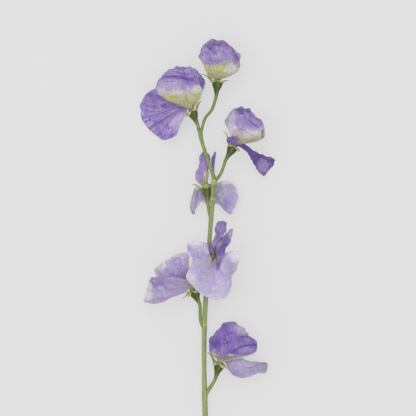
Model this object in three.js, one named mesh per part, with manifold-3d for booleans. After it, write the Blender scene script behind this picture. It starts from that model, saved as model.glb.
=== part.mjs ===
// A cut sweet pea stem with seven blooms, lying on a flat surface.
//
// Units are millimetres. +Z is up from the surface, +Y runs along the stem towards its tip and +X is to
// the right of it. The stem slopes up from its cut end, because the lowest petals hold its head off the
// surface: it rests on the cut end, on the spread wing of bloom 2 and on the wing tip of bloom 3.
//
// Every petal is one closed blade on a midrib, which is a smooth curve through a few stations. Across the
// midrib the blade is an arc that bends towards the petal's focus, the point that its hollow side faces.
// A fan petal also spreads its sides round the place where its claw ends. The green stem, its pedicels,
// calyces and sepals grew as one piece, and are one solid.
//
// The stations are laid out with the middle of the flower head near the origin. The finished group is then
// moved so that the origin is the middle of the underside of its bounding box.

import * as THREE from "three";
import { mergeVertices } from "three/addons/utils/BufferGeometryUtils.js";
import Module from "manifold-3d";

const wasm = await Module();
wasm.setup();

// ---------------------------------------------------------------- driving dimensions, in millimetres

const PETAL_THICKNESS = 0.7;
const SEPAL_THICKNESS = 0.8;
// Degrees that the arc across a blade turns from midrib to edge, before it is stretched.
const SECTION_TURN = 60;

const CLAW_DEPTH = 2.8; // how far a petal's claw reaches into the calyx
const CLAW_HALF_BREADTH = 0.6;
const CLAW_OFFSET = 1.5; // from the calyx axis to the middle of a claw
const CLAW_SHARE = 0.18; // of a blade's rows, those on its claw
const CLAW_CURL = 0.1;
const CLAW_EXIT = 0.4; // ahead of the calyx mouth
// Where each claw stands in the calyx, as shares of the offset towards the top and to the right.
const CLAW_PLACES = { standard: [1.15, 0], keel: [-1, 0], wing_left: [0, -1], wing_right: [0, 1] };

const CALYX_LENGTH = 12.5;
const CALYX_LEVELS = [1, 0.6, 0.3, 0]; // shares of its length behind the mouth, where its radii are given
const CALYX_RADII = [1.25, 2, 3.53, 4.2];
const CALYX_MOUTH_RADIUS = CALYX_RADII.at(-1);
const CALYX_RIM = 0.7;
const CALYX_FLOOR_DEPTH = 3.4; // the hollow that holds the claws
const CALYX_FLOOR_RADIUS = 2.8;

// A sepal's stations: [share of its reach, share of its rise, half breadth, depth].
const SEPAL_BLADE = [
  [0.2, 0.25, 1.3, 0.3],
  [0.6, 0.85, 0.8, 0.3],
  [1, 1, 0.3, 0.1],
];
const SEPAL_ROOT = [-1.2, -0.5, 1.5, 0.3]; // behind the rim, inside it, half breadth, depth
const SEPAL_START = 0.2; // ahead of the rim, where a sepal's reach and rise are measured from
const SEPAL_FOCUS = 40; // behind the mouth, on the calyx axis

const CURVE_STEP = 0.01; // of a curve's own parameter, for measuring its direction
const SURFACE_STEP = 0.02; // of u or v, for measuring a blade's slope
const TUBE_START_NORMAL = [0.31, 0.17, 0.94]; // any direction across the tube turns its first corner
const WELD = 1e-4; // vertices closer than this are one

const STEM_SIDES = 8;
const STEM_STEPS = 44;
const PEDICEL_SIDES = 8;
const PEDICEL_STEPS = 9;

// Rows along and columns across a blade.
const GRID = {
  standard: [11, 10],
  fan: [9, 20],
  wing: [9, 6],
  keel: [6, 4],
  sepal: [3, 2],
};

const COLOURS = {
  stem: 0x7c9148,
  hood: 0x9a7fc4,
  pale: 0xc3b6d8,
  dark: 0x6e4fa3,
  keel: 0xd6cfae,
};

// ---------------------------------------------------------------- the plant
// Stem and pedicel stations are [x, y, z, radius]. Petal stations are [x, y, z, half breadth, depth], and
// the depth is how far the edges stand off the midrib, towards the focus. Each petal's claw is added in
// front of its stations, from the bloom's calyx. Its other values are:
//   grain    the direction that the sections stand square to, where it isn't the midrib's own
//   outline  how much shorter the blade is at its edges: 1 - shoulder * |v| ** power
//   fan      degrees that the left and right sides are spread round the end of the claw
//   lobes    the reach of a fan, from its midrib to its left and to its right edge
//   ruffle   [height, waves, phase] of the waves that grow towards the far edge
// Each sepal is [reach, rise]: how far its tip lies out from the calyx rim, and how far ahead of it.

const MAIN_STEM = [
  [-0.6, -235, 2.3, 2.3],
  [-1.4, -190, 5.5, 2.15],
  [-2.25, -154.5, 8.5, 2.05],
  [-3.0, -118, 12, 1.7],
  [-2.7, -88, 15, 1.8],
  [-1.8, -69, 17, 1.8],
  [1.05, -24, 20.5, 1.6],
  [2.85, -1.5, 22, 1.6],
  [4.2, 15.5, 23, 1.7],
  [4.6, 21, 23.3, 1.9],
  [3.3, 26, 23.6, 1.4],
  [-0.6, 37.5, 24.2, 1.3],
  [-3.6, 46.5, 24.6, 1.25],
  [-5.6, 54.9, 24.8, 1.4],
  [-4.9, 60, 24.8, 1.15],
];

const BLOOMS = [
  {
    name: "bloom_1",
    mouth: [7.1, 95.3, 24.6],
    axis: [0.1, 1, 0],
    top: [-0.1, 0, 1],
    pedicel: [
      [-5.2, 57, 24.8, 1.1],
      [-2.3, 67, 24.8, 1.1],
      [2.9, 73.9, 24.8, 1.1],
    ],
    sepals: [[4, 0], [9.5, 4], [4, -1.5], [3.5, -1], [4.5, 1]],
    petals: {
      standard: {
        colour: "hood",
        focus: [9, 112, 18],
        grain: [-0.05, 1, 0],
        outline: { shoulder: 0.1, power: 3 },
        ruffle: [0.35, 3, 0.4],
        blade: [
          [9, 98.2, 29, 8, 0.5],
          [11, 101.4, 33.2, 12.6, 2.5],
          [10.6, 106.5, 36.6, 13.8, 7],
          [8.7, 112.5, 38, 15.2, 10],
          [6.6, 118.5, 37.4, 14.4, 11],
          [5.6, 123, 34.6, 12.4, 7.5],
          [5.6, 125.8, 30, 10.6, 3.5],
        ],
      },
      wing_left: { colour: "dark", form: "wing", side: -1 },
      wing_right: { colour: "dark", form: "wing", side: 1 },
      keel: { colour: "keel", form: "keel" },
    },
  },
  {
    name: "bloom_2",
    mouth: [-12.4, 73.1, 25],
    axis: [-0.38, 0.9, 0.05],
    top: [0.05, 0, 1],
    pedicel: [
      [-5.4, 54.5, 24.8, 1.2],
      [-7.3, 59, 24.8, 1.15],
    ],
    sepals: [[4, -1], [1.9, -2.8], [2.2, -2.5], [4, -1], [6.5, 3.5]],
    petals: {
      standard: {
        colour: "hood",
        focus: [-20, 92, 18],
        grain: [-0.05, 1, 0],
        outline: { shoulder: 0.1, power: 3 },
        ruffle: [0.35, 3, 1.6],
        blade: [
          [-15.2, 77, 29.6, 6.8, 0.5],
          [-18.9, 80.4, 33.8, 13.4, 2.5],
          [-20.7, 85.5, 37.6, 17.4, 6.5],
          [-20.3, 91.5, 39.4, 18.4, 10],
          [-19.9, 97, 38.8, 18.6, 11.5],
          [-20.7, 102, 36, 16.8, 8],
          [-20.9, 105.5, 31.2, 12.8, 4.5],
        ],
      },
      wing_left: {
        colour: "hood",
        focus: [-34, 66, 160],
        fan: [50, 45],
        lobes: [
          [0.95, 0.9, 0.84, 0.76, 0.6],
          [0.95, 0.94, 0.85, 0.73, 0.6],
        ],
        ruffle: [0.8, 3, 0.5],
        blade: [
          [-15.4, 75.6, 25.8, 1.2, 0],
          [-20, 74.4, 24, 1.2, -0.4],
          [-27, 73.4, 19.8, 1.2, -0.8],
          [-35.5, 72.4, 13.2, 1.2, -1],
          [-44, 71.2, 5.8, 1.2, 0],
          [-53.1, 69.9, -1.5, 1.2, 1],
        ],
      },
      wing_right: {
        colour: "dark",
        focus: [-20, 90, 18],
        outline: { shoulder: 0.25, power: 2.4 },
        ruffle: [0.4, 2, 0],
        blade: [
          [-10, 77.6, 24.6, 2, 0.6],
          [-8.6, 82.5, 24.6, 4.2, 1.8],
          [-9, 89.5, 24.6, 5.8, 2.6],
          [-11, 95.5, 24, 4.8, 2.2],
        ],
      },
      keel: { colour: "keel", form: "keel" },
    },
  },
  {
    name: "bloom_3",
    mouth: [19.2, 46.6, 25],
    axis: [0.48, 0.87, 0],
    top: [0.1, 0, 1],
    pedicel: [
      [5.5, 20.5, 23.3, 1.3],
      [7.9, 23.3, 23.8, 1.2],
      [10.6, 28, 24.4, 1.15],
    ],
    sepals: [[3.5, -1], [8.5, 6], [3, -2], [3.5, -1.5], [3, -1.5]],
    petals: {
      standard: {
        colour: "hood",
        focus: [27, 63, 18],
        grain: [0.1, 1, 0],
        outline: { shoulder: 0.1, power: 3 },
        ruffle: [0.35, 3, 2.5],
        blade: [
          [27.6, 50.2, 29, 8.6, 0.5],
          [29, 52.4, 33, 13.4, 2.5],
          [28.6, 56.6, 36.6, 14.6, 7],
          [27, 62, 38, 14.6, 9.5],
          [26.2, 67.8, 37.4, 13.8, 9.5],
          [25.6, 72.8, 34.6, 11.4, 7],
          [25.2, 75.8, 30, 8.6, 4],
        ],
      },
      wing_left: {
        colour: "dark",
        focus: [20, 49, -40],
        outline: { shoulder: 0.2, power: 2.5 },
        ruffle: [0.2, 2, 0],
        blade: [
          [17.3, 49.3, 26, 0.8, 0.2],
          [16.2, 50, 29.2, 0.9, 0.3],
          [15.6, 50.4, 32.6, 2, 0.4],
          [16.8, 50.8, 35.4, 3, 0.6],
          [19.2, 49.7, 36.4, 3, 0.6],
          [22, 46.8, 35.2, 2, 0.3],
        ],
      },
      wing_right: {
        colour: "dark",
        focus: [40, 30, 120],
        outline: { shoulder: 0.08, power: 2.5 },
        ruffle: [0.4, 2, 1],
        blade: [
          [24, 47.6, 24.6, 1.6, 0.3],
          [28.6, 45, 24.2, 2, 0.6],
          [33, 41.2, 21.2, 2.4, 0.8],
          [37, 37.6, 15.8, 4.6, 1.6],
          [41.6, 33.8, 8.6, 7.2, 2.4],
          [47.4, 29.8, 0.3, 7.4, 2],
        ],
      },
      keel: { colour: "keel", form: "keel" },
    },
  },
  {
    name: "bloom_4",
    mouth: [-1.2, 14.3, 16.6],
    axis: [-0.08, 0.92, -0.35],
    top: [0.05, -0.35, -1],
    pedicel: [
      [2.4, -10, 21, 1.3],
      [1.2, -5, 20.9, 1.25],
    ],
    sepals: [[4, 1], [6.5, 2], [1.8, -1], [1.8, -1], [6.5, 3.5]],
    petals: {
      standard: {
        colour: "pale",
        focus: [1, 15, 160],
        fan: [180, 180],
        lobes: [
          [
            0.12, 0.12, 0.12, 0.12, 0.12, 0.12, 0.13, 0.14, 0.16, 0.18, 0.2,
            0.24, 0.36, 0.58, 0.67, 0.75, 0.84, 0.87, 0.64, 0.65, 0.66,
          ],
          [
            0.12, 0.12, 0.12, 0.12, 0.12, 0.13, 0.17, 0.36, 0.66, 0.75, 0.81,
            0.85, 0.88, 0.9, 0.92, 0.94, 0.95, 0.72, 0.68, 0.66, 0.66,
          ],
        ],
        ruffle: [0.7, 5, 0.8],
        blade: [
          [0.4, 16.8, 10.4, 1.3, 0],
          [0.6, 22, 9.4, 1.3, 0.6],
          [0.8, 30.6, 9, 1.3, 0.8],
          [1.25, 45.4, 9, 1.3, 0],
        ],
      },
      wing_left: {
        colour: "dark",
        focus: [-60, 32, 20],
        outline: { shoulder: 0.2, power: 2.5 },
        ruffle: [0.3, 2, 2],
        blade: [
          [2.6, 18.4, 15.4, 1.8, 0.3],
          [4.2, 24, 15.4, 3.6, 1],
          [4.6, 31, 15.4, 4.4, 1.6],
          [5.2, 37.5, 15.2, 4.8, 2.2],
          [6, 42.6, 15, 3.6, 2],
        ],
      },
      wing_right: {
        colour: "pale",
        focus: [4, 30, -40],
        outline: { shoulder: 0.2, power: 2.5 },
        ruffle: [0.3, 2, 0.5],
        blade: [
          [-4, 18.2, 15.8, 2, 0.4],
          [-5.2, 22.8, 15.4, 4.6, 0.8],
          [-4.4, 27.5, 15, 4.4, 1],
          [-2.8, 32.5, 14.6, 3.6, 1],
          [-2.6, 38, 14, 4.2, 1],
          [-3, 43, 13.4, 3, 0.6],
        ],
      },
      keel: {
        colour: "keel",
        focus: [-1, 24, 4],
        outline: { shoulder: 0.2, power: 2 },
        blade: [
          [-1.5, 17.6, 18.8, 1.3, 0.3],
          [-1.9, 21.4, 20, 2.1, 1],
          [-1.7, 25.4, 20.4, 2.3, 1.4],
          [-1.1, 29, 20, 1.5, 1],
        ],
      },
    },
  },
  {
    name: "bloom_5",
    mouth: [5.9, -36, 30.4],
    axis: [0.2, 0.35, 0.9],
    top: [-0.1, -0.93, 0.35],
    pedicel: [
      [-1, -53, 18, 1.3],
      [1.2, -46.5, 18.6, 1.3],
    ],
    sepals: [[5, 0], [3.5, -1], [4.5, -2], [4.5, -2], [6, 0.5]],
    petals: {
      standard: {
        colour: "pale",
        focus: [4, 160, 190],
        fan: [130, 165],
        lobes: [
          [0.97, 0.96, 0.8, 0.64, 0.64, 0.66, 0.67, 0.68, 0.44],
          [0.97, 0.9, 0.84, 0.83, 0.62, 0.6, 0.82, 0.75, 0.51],
        ],
        ruffle: [0.7, 5, 0.2],
        blade: [
          [4.8, -40.4, 34.6, 1.2, 0],
          [4.4, -45.5, 35.8, 1.2, 0.5],
          [4.4, -53, 36, 1.2, 0],
          [4.8, -61, 35.2, 1.2, -1],
          [5.4, -69.8, 33.2, 1.2, -2],
        ],
      },
      wing_left: {
        colour: "dark",
        focus: [30, -32, -10],
        outline: { shoulder: 0.2, power: 2.5 },
        ruffle: [0.25, 2, 0.5],
        blade: [
          [2.2, -33.4, 34.6, 2.4, 0.5],
          [2.8, -29.2, 38, 2.9, 1],
          [5.2, -25, 41, 2.6, 1.2],
          [7.8, -20.8, 43.2, 2.5, 1.2],
          [8.6, -16.4, 44.8, 4.6, 1],
          [10.6, -12.9, 45.6, 4.8, 0.6],
          [13.6, -10.6, 45.8, 2.6, 0.3],
        ],
      },
      wing_right: {
        colour: "dark",
        focus: [-12, -30, 0],
        outline: { shoulder: 0.2, power: 2.5 },
        ruffle: [0.25, 2, 2],
        blade: [
          [9.2, -35.4, 34.4, 2.8, 0.5],
          [10.6, -30, 37.6, 4, 1.2],
          [13.4, -25, 40.2, 3.8, 1.2],
          [16, -20.2, 42.2, 2.8, 1],
          [17.8, -15.2, 43.6, 1.6, 0.5],
        ],
      },
      keel: {
        colour: "keel",
        focus: [7, -40, 46],
        outline: { shoulder: 0.2, power: 2 },
        blade: [
          [6.6, -33.4, 33.2, 1.2, 0.3],
          [7.8, -29.4, 35.2, 1.6, 1],
          [9.4, -25, 37.6, 1.7, 1.2],
          [11, -21, 40, 1.1, 0.8],
        ],
      },
    },
  },
  {
    name: "bloom_6",
    mouth: [-11, -62, 20],
    axis: [-0.38, 0.9, 0.15],
    top: [-0.25, -0.2, 1],
    pedicel: [
      [-3.2, -91, 15, 1.3],
      [-5.6, -84.5, 15.8, 1.3],
    ],
    sepals: [[4, -1], [8, -3.5], [2.5, -2.5], [4, -1.5], [4, -1]],
    petals: {
      standard: {
        colour: "hood",
        focus: [-30, -60, 160],
        outline: { shoulder: 0.03, power: 3 },
        ruffle: [0.7, 3, 0.6],
        blade: [
          [-13.8, -58.6, 24.6, 2.6, 0.4],
          [-18, -58.4, 26, 5.4, 1],
          [-24, -58.6, 26, 7.2, 1.6],
          [-31, -59.4, 24.8, 8.8, 2],
          [-37, -61.4, 22.6, 9.7, 1.4],
          [-41.6, -62.1, 20.4, 10, 1],
          [-45.8, -61.2, 18.2, 10, 0.5],
        ],
      },
      wing_left: {
        colour: "hood",
        focus: [-22, -44, 160],
        outline: { shoulder: 0.14, power: 2.5 },
        ruffle: [0.7, 3, 1.6],
        blade: [
          [-15, -57.4, 19.8, 2.4, 0.3],
          [-18.6, -51.4, 20.4, 6.5, 1],
          [-23.4, -46.8, 20.4, 13, 1.6],
          [-27, -42.4, 19.6, 14.8, 1.6],
          [-29.6, -38, 18.4, 12.4, 1],
        ],
      },
      wing_right: {
        colour: "dark",
        focus: [-8, -45, 120],
        outline: { shoulder: 0.2, power: 2.5 },
        ruffle: [0.4, 2.5, 0],
        blade: [
          [-8.4, -58, 21, 2, 0.3],
          [-6.4, -53.5, 22.6, 3.6, 0.8],
          [-4.4, -48.5, 23.8, 4.6, 1.2],
          [-3.8, -44, 24.2, 4, 1],
        ],
      },
      keel: {
        colour: "keel",
        focus: [-14, -50, 60],
        outline: { shoulder: 0.2, power: 2 },
        blade: [
          [-11.8, -59, 17.8, 1.3, 0.2],
          [-12.8, -55.8, 16.6, 1.8, 0.8],
          [-14.2, -52, 16, 2, 1],
          [-15.4, -48.6, 16.4, 1.3, 0.6],
        ],
      },
    },
  },
  {
    name: "bloom_7",
    mouth: [8.8, -117, 18],
    axis: [0.27, 0.95, 0.1],
    top: [-0.1, 0, 1],
    pedicel: [
      [-2.2, -142, 10, 1.4],
      [0.4, -137.6, 11.2, 1.4],
      [3.6, -132.6, 14, 1.3],
    ],
    sepals: [[3.5, -1], [8, 4.5], [4, -1.5], [3, -2], [2.5, -2.5]],
    petals: {
      standard: {
        colour: "hood",
        focus: [18.5, -98, 13],
        grain: [0, 1, 0],
        outline: { shoulder: 0.1, power: 3 },
        ruffle: [0.35, 3, 3.5],
        blade: [
          [16.2, -111.8, 24.4, 12, 0.5],
          [18.4, -109.8, 28.2, 17.2, 2.5],
          [19.2, -105.2, 31.2, 18, 7],
          [18.4, -99.4, 32.6, 17.6, 10],
          [16.8, -93.6, 31.6, 15.6, 11],
          [16.8, -88.8, 28.6, 13, 9],
          [17, -85.4, 24, 9, 6],
        ],
      },
      wing_left: { colour: "dark", form: "wing", side: -1 },
      wing_right: {
        colour: "pale",
        focus: [30, -125, 120],
        outline: { shoulder: 0.06, power: 3 },
        ruffle: [0.5, 2, 0.6],
        blade: [
          [12.2, -114, 18.8, 1.4, 0.2],
          [15.6, -115.4, 20.2, 3, 0.5],
          [19.4, -118.2, 20, 6, 1],
          [24.4, -120.6, 18.8, 7.2, 1.4],
          [30, -121.4, 17, 6, 1.6],
          [36.8, -120.2, 14.6, 4.2, 1.6],
          [44.8, -120.6, 11, 4.8, 0.6],
        ],
      },
      keel: { colour: "keel", form: "keel" },
    },
  },
];

// Blades that many blooms share: stations in the bloom's own frame, as [along the calyx axis, towards the
// top, to the right, half breadth, depth].
const FORMS = {
  keel: {
    outline: { shoulder: 0.25, power: 2 },
    focus: [11, 8, 0],
    blade: [
      [2.5, -2.1, 0, 1.4, 0.3],
      [7, -3.6, 0, 2.6, 1.6],
      [12, -3.2, 0, 3.2, 2.6],
      [15.5, -0.8, 0, 2.6, 2.4],
    ],
  },
  wing: {
    outline: { shoulder: 0.25, power: 2.4 },
    focus: [13, -4, 0],
    ruffle: [0.5, 2, 1],
    blade: [
      [2.5, 0.2, 2.6, 1.8, 0.4],
      [7, -0.4, 5.6, 4, 1.4],
      [13, 0.2, 7.6, 6.4, 2.6],
      [19, 0.6, 7.4, 6.4, 2.6],
      [23.5, 0.8, 5.6, 4, 1.4],
    ],
  },
};

// ---------------------------------------------------------------- small helpers

const vector = (a) => new THREE.Vector3(a[0], a[1], a[2]);
const radians = THREE.MathUtils.degToRad;
const smooth = (points) => new THREE.CatmullRomCurve3(points, false, "catmullrom", 0.5);

function directionAt(curve, t) {
  const ahead = curve.getPoint(Math.min(1, t + CURVE_STEP));
  return ahead.sub(curve.getPoint(Math.max(0, t - CURVE_STEP))).normalize();
}

// A bloom's own axes: along the calyx, towards the standard, and to the right of both.
function axesOf(bloom) {
  const along = vector(bloom.axis).normalize();
  const top = vector(bloom.top);
  top.addScaledVector(along, -top.dot(along)).normalize();
  const right = new THREE.Vector3().crossVectors(along, top);
  return { mouth: vector(bloom.mouth), along, top, right };
}

function inBloom(axes, a, t, r) {
  return axes.mouth
    .clone()
    .addScaledVector(axes.along, a)
    .addScaledVector(axes.top, t)
    .addScaledVector(axes.right, r);
}

function meshOf(geometry) {
  const bare = new THREE.BufferGeometry();
  bare.setAttribute("position", geometry.getAttribute("position"));
  bare.setIndex(geometry.getIndex());
  return mergeVertices(bare, WELD);
}

function solidOf(geometry) {
  const merged = meshOf(geometry);
  return new wasm.Manifold(
    new wasm.Mesh({
      numProp: 3,
      vertProperties: new Float32Array(merged.getAttribute("position").array),
      triVerts: new Uint32Array(merged.getIndex().array),
    }),
  );
}

function geometryOf(solid) {
  const mesh = solid.getMesh();
  const geometry = new THREE.BufferGeometry();
  geometry.setAttribute("position", new THREE.BufferAttribute(new Float32Array(mesh.vertProperties), 3));
  geometry.setIndex(new THREE.BufferAttribute(new Uint32Array(mesh.triVerts), 1));
  geometry.computeVertexNormals();
  return geometry;
}

// ---------------------------------------------------------------- blades

// The middle surface of a blade: a function of u along it, from 0 to 1, and v across it, from -1 to 1.
function surfaceOf({
  stations,
  clawStations = 0,
  focus,
  grain,
  outline = {},
  lobes,
  fan,
  ruffle = [0, 1, 0],
}) {
  const spine = smooth(stations.map(vector));
  const form = smooth(stations.map(([, , , breadth, depth]) => new THREE.Vector3(breadth, depth, 0)));
  const { shoulder = 0, power = 2 } = outline;
  const [height, waves, phase] = ruffle;
  const looksAt = vector(focus);
  const turn = radians(SECTION_TURN);
  const clawEnd = clawStations / (stations.length - 1);
  const share = clawStations ? CLAW_SHARE : 0;
  const fanCentre = spine.getPoint(clawEnd);
  const fanAlong = spine.getPoint(1).sub(fanCentre).normalize();
  const fanAcross = fanAlong.clone().cross(looksAt.clone().sub(fanCentre)).normalize();
  const lobeCurves = lobes?.map((side) => smooth(side.map((length) => new THREE.Vector3(length, 0, 0))));

  const reachAt = (v) =>
    lobeCurves ? lobeCurves[v < 0 ? 0 : 1].getPoint(Math.abs(v)).x : 1 - shoulder * Math.abs(v) ** power;

  return (u, v) => {
    const out = Math.max(0, (u - share) / (1 - share));
    const t = u < share ? (clawEnd * u) / share : clawEnd + (1 - clawEnd) * out * reachAt(v);
    const point = spine.getPoint(t);
    const along = directionAt(spine, t);
    const inwards = looksAt.clone().sub(point);
    const across = (grain ? vector(grain) : along.clone()).cross(inwards).normalize();
    const hollow = across.clone().cross(along).normalize();
    const { x: breadth, y: depth } = form.getPoint(t);
    const swell = height * out * out * (0.3 + 0.7 * Math.abs(v));
    const wave = swell * Math.sin(waves * Math.PI * v + phase + 2 * u);
    const bend = (1 - Math.cos(turn * v)) / (1 - Math.cos(turn));
    if (fan && out > 0) {
      const spread = point.distanceTo(fanCentre);
      const sweep = radians(fan[v < 0 ? 0 : 1]) * v;
      point.addScaledVector(fanAcross, spread * Math.sin(sweep));
      point.addScaledVector(fanAlong, -spread * (1 - Math.cos(sweep)));
    }
    return point
      .addScaledVector(across, (breadth * Math.sin(turn * v)) / Math.sin(turn))
      .addScaledVector(hollow, depth * bend + wave);
  };
}

// A closed blade of even thickness on both sides of a middle surface, split alike on both faces.
function blade(surface, [rows, columns], thickness) {
  const positions = [];
  const faces = [];
  const at = (i, j) => surface(i / rows, (2 * j) / columns - 1);
  for (const side of [1, -1]) {
    for (let i = 0; i <= rows; i++) {
      for (let j = 0; j <= columns; j++) {
        const u = i / rows;
        const v = (2 * j) / columns - 1;
        const du = surface(Math.min(1, u + SURFACE_STEP), v).sub(surface(Math.max(0, u - SURFACE_STEP), v));
        const dv = surface(u, Math.min(1, v + SURFACE_STEP)).sub(surface(u, Math.max(-1, v - SURFACE_STEP)));
        const normal = du.cross(dv).normalize();
        positions.push(...at(i, j).addScaledVector(normal, (side * thickness) / 2).toArray());
      }
    }
  }
  const across = columns + 1;
  const under = (rows + 1) * across;
  const quad = (a, b, c, d) => faces.push(a, b, c, a, c, d);
  for (let i = 0; i < rows; i++) {
    for (let j = 0; j < columns; j++) {
      const a = i * across + j;
      const [b, c, d] = [a + across, a + across + 1, a + 1];
      quad(a, b, c, d);
      faces.push(under + a, under + c, under + b, under + a, under + d, under + c);
    }
  }
  const wall = (a, b) => quad(a, b, under + b, under + a);
  for (let j = 0; j < columns; j++) {
    wall(j, j + 1);
    wall(rows * across + j + 1, rows * across + j);
  }
  for (let i = 0; i < rows; i++) {
    wall((i + 1) * across, i * across);
    wall(i * across + columns, (i + 1) * across + columns);
  }
  const geometry = new THREE.BufferGeometry();
  geometry.setAttribute("position", new THREE.BufferAttribute(new Float32Array(positions), 3));
  geometry.setIndex(faces);
  geometry.computeVertexNormals();
  return geometry;
}

// ---------------------------------------------------------------- petals

// The claw's two stations: its root in the calyx and its way out of the mouth.
function clawOf(axes, role) {
  const [t, r] = CLAW_PLACES[role].map((side) => side * CLAW_OFFSET);
  return [
    [...inBloom(axes, -CLAW_DEPTH, t, r).toArray(), CLAW_HALF_BREADTH, CLAW_CURL],
    [...inBloom(axes, CLAW_EXIT, t, r).toArray(), CLAW_HALF_BREADTH, CLAW_CURL],
  ];
}

function petalSpec(axes, petal, role) {
  const claw = clawOf(axes, role);
  const rule = FORMS[petal.form];
  if (!rule) {
    return { ...petal, clawStations: claw.length, stations: [...claw, ...petal.blade] };
  }
  const { size = 1, side = 1 } = petal;
  const placed = rule.blade.map(([a, t, r, breadth, depth]) => [
    ...inBloom(axes, a * size, t * size, r * side * size).toArray(),
    breadth * size,
    depth * size,
  ]);
  const focus = inBloom(axes, ...rule.focus.map((x) => x * size)).toArray();
  return { ...rule, focus, clawStations: claw.length, stations: [...claw, ...placed] };
}

function petalGeometry(axes, petal, role) {
  const grid = GRID[petal.fan ? "fan" : role.split("_")[0]];
  return blade(surfaceOf(petalSpec(axes, petal, role)), grid, PETAL_THICKNESS);
}

// ---------------------------------------------------------------- green parts

// A closed tube through stations of [x, y, z, radius], with flat ends.
function tube(stations, sides, steps) {
  const spine = smooth(stations.map(vector));
  const girth = smooth(stations.map(([, , , radius]) => new THREE.Vector3(radius, 0, 0)));
  const positions = [];
  const faces = [];
  let normal = vector(TUBE_START_NORMAL);
  for (let i = 0; i <= steps; i++) {
    const t = i / steps;
    const centre = spine.getPoint(t);
    const along = directionAt(spine, t);
    normal = normal.clone().addScaledVector(along, -normal.dot(along)).normalize();
    const other = new THREE.Vector3().crossVectors(along, normal);
    const radius = girth.getPoint(t).x;
    for (let k = 0; k < sides; k++) {
      const turn = (2 * Math.PI * k) / sides;
      positions.push(
        ...centre
          .clone()
          .addScaledVector(normal, radius * Math.cos(turn))
          .addScaledVector(other, radius * Math.sin(turn))
          .toArray(),
      );
    }
  }
  for (let i = 0; i < steps; i++) {
    for (let k = 0; k < sides; k++) {
      const [a, b] = [i * sides + k, i * sides + ((k + 1) % sides)];
      faces.push(a, b, b + sides, a, b + sides, a + sides);
    }
  }
  const last = steps * sides;
  for (let k = 1; k < sides - 1; k++) {
    faces.push(0, k + 1, k, last, last + k, last + k + 1);
  }
  const geometry = new THREE.BufferGeometry();
  geometry.setAttribute("position", new THREE.BufferAttribute(new Float32Array(positions), 3));
  geometry.setIndex(faces);
  return geometry;
}

// The pedicel runs into its calyx as one tube that widens to the mouth.
function pedicelStations(bloom, axes) {
  const share = (along, radius) => [...inBloom(axes, -along, 0, 0).toArray(), radius];
  const calyx = CALYX_RADII.map((radius, k) => share(CALYX_LENGTH * CALYX_LEVELS[k], radius));
  return [...bloom.pedicel, ...calyx];
}

function calyxHollow(axes) {
  const floor = [...inBloom(axes, -CALYX_FLOOR_DEPTH, 0, 0).toArray(), CALYX_FLOOR_RADIUS];
  const mouth = [...inBloom(axes, CLAW_EXIT, 0, 0).toArray(), CALYX_MOUTH_RADIUS - CALYX_RIM];
  return tube([floor, mouth], PEDICEL_SIDES, 1);
}

// Five narrow pointed sepals stand round the calyx rim, the first of them opposite the standard.
function sepalSpecs(bloom, axes) {
  return bloom.sepals.map(([reach, rise], k) => {
    const angle = Math.PI + (2 * Math.PI * k) / bloom.sepals.length;
    const place = (a, out) => inBloom(axes, a, out * Math.cos(angle), out * Math.sin(angle)).toArray();
    const rim = CALYX_MOUTH_RADIUS - CALYX_RIM / 2;
    const [behind, inside, ...rootSize] = SEPAL_ROOT;
    const root = [...place(behind, rim + inside), ...rootSize];
    const blade = SEPAL_BLADE.map(([out, ahead, ...size]) => [
      ...place(SEPAL_START + rise * ahead, rim + reach * out),
      ...size,
    ]);
    return { focus: place(-SEPAL_FOCUS, 0), stations: [root, ...blade] };
  });
}

function greenGeometry() {
  let whole = solidOf(tube(MAIN_STEM, STEM_SIDES, STEM_STEPS));
  for (const bloom of BLOOMS) {
    const axes = axesOf(bloom);
    let branch = solidOf(tube(pedicelStations(bloom, axes), PEDICEL_SIDES, PEDICEL_STEPS));
    for (const sepal of sepalSpecs(bloom, axes)) {
      branch = branch.add(solidOf(blade(surfaceOf(sepal), GRID.sepal, SEPAL_THICKNESS)));
    }
    whole = whole.add(branch.subtract(solidOf(calyxHollow(axes))));
  }
  return geometryOf(whole);
}

// ---------------------------------------------------------------- the assembly

function named(name, geometry, colour) {
  const material = new THREE.MeshStandardMaterial({ color: COLOURS[colour], roughness: 0.65, metalness: 0 });
  const mesh = new THREE.Mesh(geometry, material);
  mesh.name = name;
  return mesh;
}

const part = new THREE.Group();
part.name = "sweet_pea_flower";
part.add(named("stem", greenGeometry(), "stem"));
for (const bloom of BLOOMS) {
  const axes = axesOf(bloom);
  for (const [role, petal] of Object.entries(bloom.petals)) {
    part.add(named(`${bloom.name}_${role}`, petalGeometry(axes, petal, role), petal.colour));
  }
}


// The origin is the middle of the bounding box's underside.
const box = new THREE.Box3().setFromObject(part);
const middle = box.getCenter(new THREE.Vector3());
part.position.set(-middle.x, -middle.y, -box.min.z);
part.updateMatrixWorld(true);

export default part;
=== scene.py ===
"""A cut sweet pea stem with seven open blooms, lying on a pale floor.

Run as a script, this add-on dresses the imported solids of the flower: every petal and the green stem get a
finer piece in the same place, with thin wavy blades, veins, creases and their own paint. Its tables are in
millimetres and in the flower's own layout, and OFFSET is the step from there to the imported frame.
"""

import math

import bpy
import numpy as np
from bpy.props import FloatProperty, FloatVectorProperty, IntProperty, PointerProperty
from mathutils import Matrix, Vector, noise


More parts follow.
